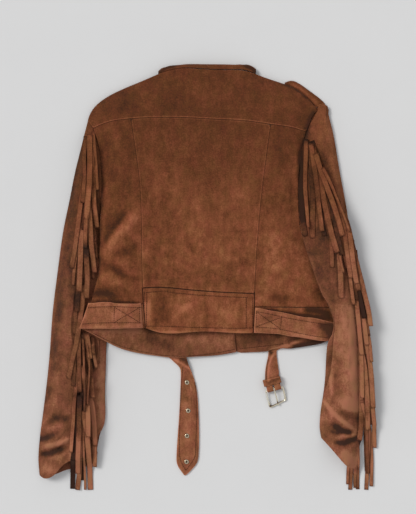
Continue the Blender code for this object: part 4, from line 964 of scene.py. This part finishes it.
# the backing and then the strips, in the order in which they lie: width in mm, shade, banks in degrees from
# root to end, line from the seam down
FRINGE_LEFT = (
    (9, -0.45, (0, 0), ((-199.9, 242.9), (-202, 228), (-204, 199.8), (-205.7, 131.8), (-209.1, 63.8),
        (-214, 4.9), (-222, -39.9), (-229, -78), (-226.1, -108), (-216.9, -149.9), (-212.5, -208.2),
        (-214.2, -249), (-215.9, -284.8))),
    (8, -1.0, (0, 0), ((-215.9, -208.2), (-224.4, -276.2), (-231.2, -318.8), (-232, -362.1))),
    (7, -0.8, (0, 0), ((-212.5, -191.2), (-210.8, -259.2), (-213.3, -310.2), (-215, -347.6))),
    (8.5, -0.3, (0, 0), ((-210.8, -165.8), (-214.2, -225.2), (-215.9, -276.2))),
    (4.5, 0.0, (0, 30), ((-214.2, -225.2), (-211.7, -276.2), (-210.8, -327.2), (-210.3, -363.8))),
    (8.5, 0.0, (0, 6), ((-217.6, -242.2), (-217.6, -293.2), (-220.2, -335.8), (-223.5, -363.8))),
    (9, 0.1, (0, -5), ((-210.8, -225.2), (-204.8, -267.8), (-202.8, -310.2), (-201.4, -363.8))),
    (8, -0.1, (0, 12), ((-200.6, -208.2), (-193.8, -276.2), (-192.9, -301.8), (-193.8, -323.8))),
    (7.5, -0.3, (0, 0), ((-217.6, -89.2), (-222.7, -157.2), (-224.4, -216.8))),
    (8.5, 0.05, (0, 0, 4), ((-217.6, -199.8), (-218.4, -242.2), (-220.2, -293.2), (-222.4, -335.8))),
    (8, -0.3, (0, 0), ((-212.5, -94.3), (-210.8, -123.2), (-210.8, -160.7))),
    (8.5, 0.0, (0, -8), ((-207.4, -165.8), (-196.3, -216.8), (-192.9, -250.8), (-192.1, -287.3))),
    (7, 0.0, (0, 20), ((-219.3, -148.8), (-226.9, -208.2), (-229.5, -250.8), (-232.9, -296.6))),
    (8.5, 0.08, (0, 5), ((-212.5, -148.8), (-205.7, -199.8), (-202.8, -233.8), (-203.2, -270.3))),
    (8, -0.15, (0, 0), ((-205.7, -123.2), (-198.9, -157.2), (-195.5, -204.8))),
    (5, 0.1, (0, 50, 35), ((-209.4, -94.3), (-204.8, -119.8), (-200.9, -143.7), (-201.4, -174.2),
        (-204.8, -215.9))),
    (4.5, 0.05, (0, 60, 40), ((-212.5, -102.8), (-209.9, -148.8), (-208.2, -191.2), (-209.1, -226.9))),
    (7, -0.25, (0, 10), ((-222.7, -55.2), (-224.4, -106.2), (-226.9, -148.8), (-228.3, -184.4))),
    (7.5, 0.0, (0, 0), ((-219.3, -91), (-219.3, -114.8), (-218.4, -153.8), (-217.6, -194.7))),
    (8, 0.05, (0, -6), ((-205.7, -95.2), (-202.6, -114.8), (-200.1, -137.7))),
    (8, -0.35, (0, 0), ((-214.2, 29.8), (-224.4, -38.2), (-226.1, -97.8))),
    (8.5, 0.05, (0, -4, 6), ((-214.2, -12.8), (-212.5, -38.2), (-217.6, -75.6), (-223.9, -114.8),
        (-231.2, -143.7), (-236.3, -171.7))),
    (8.5, -0.2, (0, 0), ((-210.8, 63.8), (-217.6, 16.1), (-220.2, -21.2), (-222.7, -57.8))),
    (9, 0.08, (0, 6, 0), ((-207.4, 70.5), (-206, 26.3), (-204.7, -4.2), (-206.5, -34.9))),
    (6, -0.35, (0, 0), ((-207.4, 106.2), (-198, 46.8), (-195.5, -2.5))),
    (7, -0.35, (0, 0), ((-200.6, 131.8), (-193.8, 80.8), (-191.2, 33.1))),
    (6, 0.0, (0, 15), ((-212.5, 106.2), (-221, 63.8), (-226.1, 26.3), (-229.5, -13.6))),
    (9, 0.05, (0, 0, -5), ((-205.7, 128.3), (-211.7, 94.3), (-215.9, 55.2), (-216.8, 21.2),
        (-218.4, -23.8))),
    (8, -0.35, (0, 0), ((-202.3, 216.8), (-207.4, 148.8), (-210.8, 80.8))),
    (8.5, 0.06, (0, 0, 5), ((-204, 140.2), (-200.1, 94.3), (-198, 55.2), (-192.9, 8.5))),
    (7.5, 0.0, (0, 25), ((-205.7, 155.5), (-206.9, 106.2), (-208.2, 49.3))),
    (8, 0.05, (0, 8, -4), ((-209.1, 172.5), (-214.2, 140.2), (-217.9, 111.3), (-222.7, 72.2),
        (-227.8, 38.2), (-232, 16.1))),
    (7, -0.45, (0, 0), ((-197.2, 233.8), (-189.5, 182.8), (-187, 94.3))),
    (8, 0.08, (0, 10, 0), ((-197.2, 216.8), (-195.5, 165.8), (-193.5, 126.6), (-188.7, 85))),
    (7.5, 0.0, (0, 30, 0), ((-208.2, 240.5), (-210.8, 208.2), (-209.1, 174.2), (-212.5, 126.6))),
    (6, 0.0, (0, 35, 20), ((-196.3, 249), (-192.1, 216.8), (-189.5, 186.2), (-187.8, 148.8))),
    (9.4, 0.06, (0, 0, 4), ((-201.4, 243.9), (-200.6, 199.8), (-201.4, 157.2), (-204, 126.6),
        (-205.7, 98.6))),
    (5.5, 0.0, (0, -20), ((-196.7, -100.3), (-194.5, -123.2), (-190.1, -153.8))),
    (2.5, 0.35, (0, 30), ((-188, -104.5), (-186.3, -123.2), (-185.3, -147))),
)
FRINGE_RIGHT = (
    (9, -0.1, (0, 0), ((175.9, 232), (187, 201.4), (202.3, 167.4), (210.8, 153.8), (221, 121.5),
        (230.3, 102.8), (235.4, 82.5), (240.5, 62), (249.9, 12.8), (255, -38.2), (258.4, -89.2),
        (260.1, -157.2), (261.8, -208.2), (262, -250.8), (258.1, -277.9))),
    (7, -0.4, (0, 0), ((266.9, -182.8), (269.4, -259.2), (272, -332.3))),
    (6.5, 0.05, (0, 20), ((261.8, -208.2), (277.9, -267.8), (280.5, -310.2), (279.6, -357.8))),
    (7, 0.1, (0, 10, 0), ((261.8, -211.7), (273.7, -250.8), (274.6, -293.2), (271.1, -363.8))),
    (6, -0.3, (0, 0), ((268.6, -199.8), (272, -284.8), (273.7, -335.8))),
    (8, -0.35, (0, 0), ((260.1, -143.7), (272, -199.8), (281.3, -250.8))),
    (7.5, 0.05, (0, 0, 12), ((260.1, -143.7), (277.1, -194.7), (283.6, -250.8), (284.9, -291.6))),
    (8, -0.35, (0, 0), ((256.7, -58.6), (266.9, -123.2), (275.4, -174.2))),
    (8.5, 0.0, (0, 0), ((259.2, -114.8), (266.9, -157.2), (270.3, -199.8), (272.8, -260.9))),
    (7.5, 0.05, (0, 0, 6), ((253.3, -55.2), (257.6, -97.8), (260.9, -148.8), (261.8, -204.8))),
    (8.5, 0.08, (0, 0), ((256.7, -38.2), (266.9, -97.8), (275.4, -143.7), (278.8, -187.8),
        (280.8, -221.8))),
    (6, 0.0, (0, 20), ((257.6, -63.8), (273.7, -102.8), (278.1, -143.7))),
    (8, -0.35, (0, 0), ((255, 12.8), (263.5, -55.2), (272, -99.5))),
    (8, 0.02, (0, 0), ((249.9, 46.8), (258.4, -38.2), (265.2, -80.8), (269.4, -114.8))),
    (8, 0.05, (0, 10, 0), ((244.8, 63.8), (249, -4.2), (253.3, -58.6), (257.6, -97.8), (260.9, -131.8))),
    (7.5, -0.45, (0, 0), ((244.8, 55.2), (255, -21.2), (265.2, -68.8))),
    (8, -0.35, (0, 0), ((231.2, 106.2), (241.4, 38.2), (251.6, -38.2))),
    (8.5, 0.1, (0, 15, 0), ((239.7, 80.8), (249, 38.2), (257.6, 4.2), (266.1, -29.8), (273, -58.6),
        (275.4, -82.5))),
    (8.5, 0.0, (0, 0), ((234.6, 94.3), (243.1, 50.1), (249.9, 12.8), (255, -22.1))),
    (6.5, 0.02, (0, 20), ((232.9, 106.2), (238.8, 38.2), (241.4, -4.2), (246.5, -45.9))),
    (9.5, -0.02, (0, 0), ((215.9, 138.5), (221, 63.8), (224.4, 4.2), (225.2, -34.9))),
    (8, -0.35, (0, 0), ((207.4, 148.8), (224.4, 89.2), (236.3, 16.1))),
    (7.5, -0.22, (0, 0), ((200.6, 165.8), (207.4, 89.2), (209.1, 46.8), (209.9, 17))),
    (4.5, 0.15, (0, 45), ((210.8, 140.2), (218.4, 72.2), (223.5, 33.1), (229.5, 8.5))),
    (8, 0.04, (0, 0), ((219.3, 131.8), (229.5, 94.3), (233.8, 55.2), (237.7, 26.3), (241.9, -0.8))),
    (8.5, 0.08, (0, 10, 0), ((229.5, 111.3), (239.7, 79), (242.2, 55.2), (246.5, 21.2), (251.6, -10.2))),
    (9, -0.45, (0, 0), ((166.6, 233.8), (160.7, 182.8), (159.8, 106.2), (164.9, 70.5))),
    (8, -0.38, (0, 0), ((175.1, 216.8), (181.9, 165.8), (197.2, 70.5))),
    (8, -0.38, (0, 0), ((190.4, 191.2), (207.4, 131.8), (226.1, 38.2))),
    (9, -0.05, (0, 0, 0), ((172.5, 230.3), (175.9, 182.8), (177.7, 131.8), (176.8, 67.1))),
    (9.5, 0.05, (0, 0, 0), ((177.7, 220.2), (185.3, 186.2), (192.9, 148.8), (200.6, 109.6), (209.1, 74),
        (218.4, 42.5))),
    (8.5, 0.06, (0, 0, 5), ((174.2, 226.9), (179.3, 191.2), (184.4, 153.8), (187.8, 118.1), (192.9, 78.2))),
    (9, 0.08, (0, 6, 0), ((181.9, 209.9), (191.2, 179.3), (202.3, 150.4), (213.3, 121.5), (221.8, 92.6),
        (227.8, 70.5))),
    (6, 0.15, (0, 50, 60), ((193.8, 186.2), (209.1, 157.2), (219.3, 131.8), (227.8, 111.3), (234.6, 92.6),
        (239.7, 77.3))),
    (7.5, 0.04, (0, 10, 55), ((166.6, 235.4), (165.4, 199.8), (164.9, 148.8), (168.3, 111.3), (170, 84.1))),
)
FRINGE_CUFF = (
    (6, 0.0, (0, 20), ((240.5, -296.6), (239.5, -354.4))),
    (6.5, 0.05, (0, 0), ((246.5, -293.2), (243.4, -363.8))),
    (6.5, -0.1, (0, -15), ((250.8, -293.2), (252.3, -360.4))),
    (6, -0.2, (0, 0), ((255.8, -286.4), (256.5, -362.9))),
)

FRINGES = {
    "fringe_left": ([arms["sleeve_left"], unders["sleeve_left_under"]], FRINGE_LEFT, 5),
    "fringe_right": ([arms["sleeve_right"], unders["sleeve_right_under"]], FRINGE_RIGHT, 6),
    "fringe_right_cuff": ([unders["sleeve_right_under"]], FRINGE_CUFF, 7),
}
tassels = {node: fringe(node, Bed(under), table, seed) for node, (under, table, seed) in FRINGES.items()}
bpy.data.objects.remove(STRIP_SECTION)
mark_rims(tassels)
FRINGE_CUTS = {"fringe_left": ((0.580, 0.165), 0.0437), "fringe_right": ((0.570, 0.200), 0.0488),
               "fringe_right_cuff": ((0.035, 0.075), 0.0019)}
for node, made in tassels.items():
    dress(made, node, SUEDE_FRINGE, "suede_fringe", *FRINGE_CUTS[node])


# The stitching: a heavy brown thread along every turned edge, and a crossed box
# where each strap is sewn down. Each stitch is a short, slightly sunk bead.
def stitch_tree():
    """Lays beads of thread end to end along lines."""
    given, step, end = new_tree("stitch run", Lines="Geometry", Stitch="Float", Thickness="Float",
                                Thread="Material")
    runs = step("GeometryNodeMeshToCurve", Mesh=given["Lines"])
    places = step("GeometryNodeCurveToPoints", {"mode": "LENGTH"}, Curve=runs["Curve"],
                  Length=given["Stitch"])
    ball = step("GeometryNodeMeshUVSphere", Segments=6, Rings=4, Radius=0.5)
    # each bead stops a little short of the next one
    bead = step("GeometryNodeTransform", Geometry=ball["Mesh"], Scale=(1, 1, 0.82))
    size = step("ShaderNodeCombineXYZ", X=given["Thickness"], Y=given["Thickness"], Z=given["Stitch"])
    put = step("GeometryNodeInstanceOnPoints", Points=places["Points"], Rotation=places["Rotation"],
               Instance=bead["Geometry"], Scale=size["Vector"])
    return end(put["Instances"], given["Thread"])


thread = Finish("brown thread")
thread_place = thread.node("ShaderNodeTexCoord", output=3)
twist = thread.noise(thread_place, 0.7, 2)
thread_tone = thread.node("ShaderNodeValToRGB",
                          {"stops": ((0, (0.03, 0.01, 0.005)), (1, (0.085, 0.028, 0.012)))},
                          {"Fac": 0.5 + twist})
plies = thread.node("ShaderNodeBump", None, {"Height": twist, "Strength": 0.4, "Distance": 0.2 * MM})
THREAD = thread.done(Base_Color=thread_tone, Specular_IOR_Level=0.1, Roughness=0.7 + twist * 0.2,
                     Normal=plies)

STITCH = 3.0             # mm
THREAD_THICKNESS = 1.2   # mm
# runs of stitches: the piece that they are sewn into, line
STITCHES = (
    ("waistband", ((-107.8, -26.3), (-90.1, -23.8), (-73.1, -22.9), (-59.5, -26), (-13.6, -30.1),
        (28.9, -32.3), (66.3, -34.2))),
    ("waistband", ((-108.8, -82.8), (-88.4, -82.5), (-64.6, -83), (-30.6, -84.5), (11.9, -85.8),
        (54.4, -86.5), (78.2, -85.8))),
    ("waistband", ((-108.5, -24.6), (-108.8, -51.9), (-109, -80.8))),
    ("waistband", ((-104, -25.5), (-104.4, -51.9), (-104.7, -80.8))),
    ("waistband", ((65.1, -34.9), (64.9, -58.6), (64.9, -85))),
    ("waistband", ((75.8, -34.9), (75.5, -58.6), (75.3, -85))),
    ("belt_left", ((-202.3, -50.8), (-183.6, -49.5), (-158.1, -49), (-136, -49.8), (-113.9, -50.7))),
    ("belt_left", ((-210.8, -78.4), (-192.1, -76.7), (-158.1, -76.2), (-132.6, -76.5), (-113.9, -76.7))),
    ("belt_left", ((-158.1, -49.5), (-158.8, -62), (-159.1, -76))),
    ("belt_left", ((-115.9, -50.8), (-116.1, -63.8), (-116.3, -76.2))),
    ("belt_left", ((-157.8, -50), (-116.6, -75.6))),
    ("belt_left", ((-116.6, -51), (-158.4, -75.6))),
    ("belt_right", ((82.5, -58), (102, -61.4), (125.8, -67.1), (156.4, -72.9), (183.6, -77.3),
        (209.1, -81.4))),
    ("belt_right", ((81.6, -84.1), (102, -85.5), (124.1, -88.2), (156.4, -95), (183.6, -100.1),
        (207.4, -103.5))),
    ("belt_right", ((82.5, -58.3), (81.9, -72.2), (81.6, -83.8))),
    ("belt_right", ((125.1, -67.1), (124.1, -77.3), (123.4, -87.9))),
    ("belt_right", ((83, -58.6), (123.1, -87.5))),
    ("belt_right", ((124.8, -67.5), (81.9, -83.8))),
    ("belt_left", ((-43.2, -153.8), (-45.9, -182.8), (-47.3, -208.2), (-48.6, -259.2), (-49.3, -303.4),
        (-45.9, -316.2), (-38.1, -330.6), (-28.1, -317.9), (-21.4, -305.1), (-20.4, -272.8),
        (-19.4, -225.2), (-19.9, -198), (-22.8, -175.9), (-28.9, -157.2))),
    ("front_left", ((-193.8, -95.4), (-176.8, -104.5), (-149.6, -117.5), (-115.6, -126.6), (-81.6, -132.8),
        (-47.6, -135.2), (-13.6, -133.1), (23.8, -127.7), (44.2, -123.2))),
    ("front_right", ((56.1, -122.2), (81.6, -119.2), (105.4, -116.5), (127.5, -113.4))),
)


def run_along(surface, line):
    """A line set down on a surface, as points in mm 2 mm apart, or None where it runs off."""
    line = np.array(line, float)
    lengths = np.concatenate(([0], np.cumsum(np.linalg.norm(np.diff(line, axis=0), axis=1))))
    along = np.linspace(0, lengths[-1], max(2, round(lengths[-1] / 2)))
    for x, y in zip(*(np.interp(along, lengths, line[:, k]) for k in (0, 1))):
        height = height_on(surface, x, y)
        yield None if height is None else (x, y, height + THREAD_THICKNESS * 0.18)


SEWN = {"waistband": cloth["waistband"], **belts, **fronts}
surfaces = {name: surface_of([made]) for name, made in SEWN.items()}
STITCH_RUN = stitch_tree()
runs = {}
for name, line in STITCHES:
    points, edges = runs.setdefault(name, ([], []))
    before = False
    for place in run_along(surfaces[name], line):
        if place is None:
            before = False
            continue
        points.append(tuple(c * MM for c in place))
        if before:
            edges.append((len(points) - 2, len(points) - 1))
        before = True
for name, (points, edges) in runs.items():
    lines = bpy.data.meshes.new(name + " runs")
    lines.from_pydata(points, edges, [])
    sizes = {"Stitch": STITCH * MM, "Thickness": THREAD_THICKNESS * MM}
    made = grow(STITCH_RUN, lines, {**sizes, "Thread": THREAD}, name + "_stitches")
    made.data.shade_smooth()
    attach(made, "root")


# The metalwork: a buckle frame and its prong bent from plated wire, and four
# turned eyelets in the long strap.
gold = Finish("pale gold plating")
gold_place = gold.node("ShaderNodeTexCoord", output=3)
scuff = gold.noise(gold_place, 0.8, 4)
cloudy = gold.noise(gold_place, 5, 3)
# painted reflections, shade and highlights on the plating
painted_shine_and_shade = gold.node("ShaderNodeAttribute", {"attribute_name": "tone"}, output=2)
gold_tone = gold.node("ShaderNodeValToRGB",
                      {"stops": ((0, (0.09, 0.04, 0.022)), (0.35, (0.5, 0.41, 0.28)),
                                 (0.65, (0.82, 0.74, 0.57)), (1, (0.95, 0.92, 0.83)))},
                      {"Fac": 0.68 + cloudy * 0.4 + scuff * 0.3 + painted_shine_and_shade})
scratches = gold.node("ShaderNodeBump", None, {"Height": scuff, "Strength": 0.15, "Distance": 0.1 * MM})
PALE_GOLD = gold.done(Base_Color=gold_tone, Metallic=1.0, Roughness=0.24 + scuff * 0.2, Normal=scratches)
# each piece's body
METAL = {"buckle_frame": "buckle", "buckle_prong": "prong", "eyelet_1": "root", "eyelet_2": "root",
         "eyelet_3": "root", "eyelet_4": "root"}
BUCKLE_MIDDLE = 116.4, -203.2
# the plating painted dark along the far bar, a painted reflection and shade, and painted brighter at one side,
# a painted highlight
GOLD_TONES = (
    (-1.1, 1.5, ((103.7, -221.8), (130, -208.2))),
    (0.3, 1.6, ((98.6, -196.3), (105.4, -215))),
)
for node, body in METAL.items():
    made = rounded(node, 2)
    points = points_of(made.data)
    if node == "buckle_frame":
        # the far corners are bent tight
        along, beyond = ((points[:, :2] - BUCKLE_MIDDLE) @ axis for axis in (way, away))
        corner = 0.085 * np.clip(np.abs(along) - 7.5, 0, 6) * np.clip(beyond - 6.5, 0, 6)
        points[:, :2] += (corner * np.sign(along))[:, None] * way * 0.6 + corner[:, None] * away * 0.6
        # and the frame has been pulled out of square
        points[:, :2] -= (0.008 * along * np.clip(beyond + 11, 0, 40))[:, None] * away
    shade = near_lines(points, GOLD_TONES)
    if node.startswith("eyelet"):
        # a small hole and a broad flat flange, with painted shade darkest in the hole and a little at the
        # outer rim
        middle = (points.max(0) + points.min(0))[:2] / 2
        out = points[:, :2] - middle
        far = np.hypot(*out.T)
        points[:, :2] = middle + out * np.interp(far, (far.min(), far.max()), (0.55, 0.93))[:, None]
        shade = np.interp(far / far.max(), (0.45, 0.6, 0.8, 1), (-1.3, -0.5, -0.18, -0.35))
    move_points(made.data, points)
    set_values(made, "tone", shade)
    made.data.materials.clear()
    made.data.materials.append(PALE_GOLD)
    made.data.shade_smooth()
    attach(made, body)
    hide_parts(node)
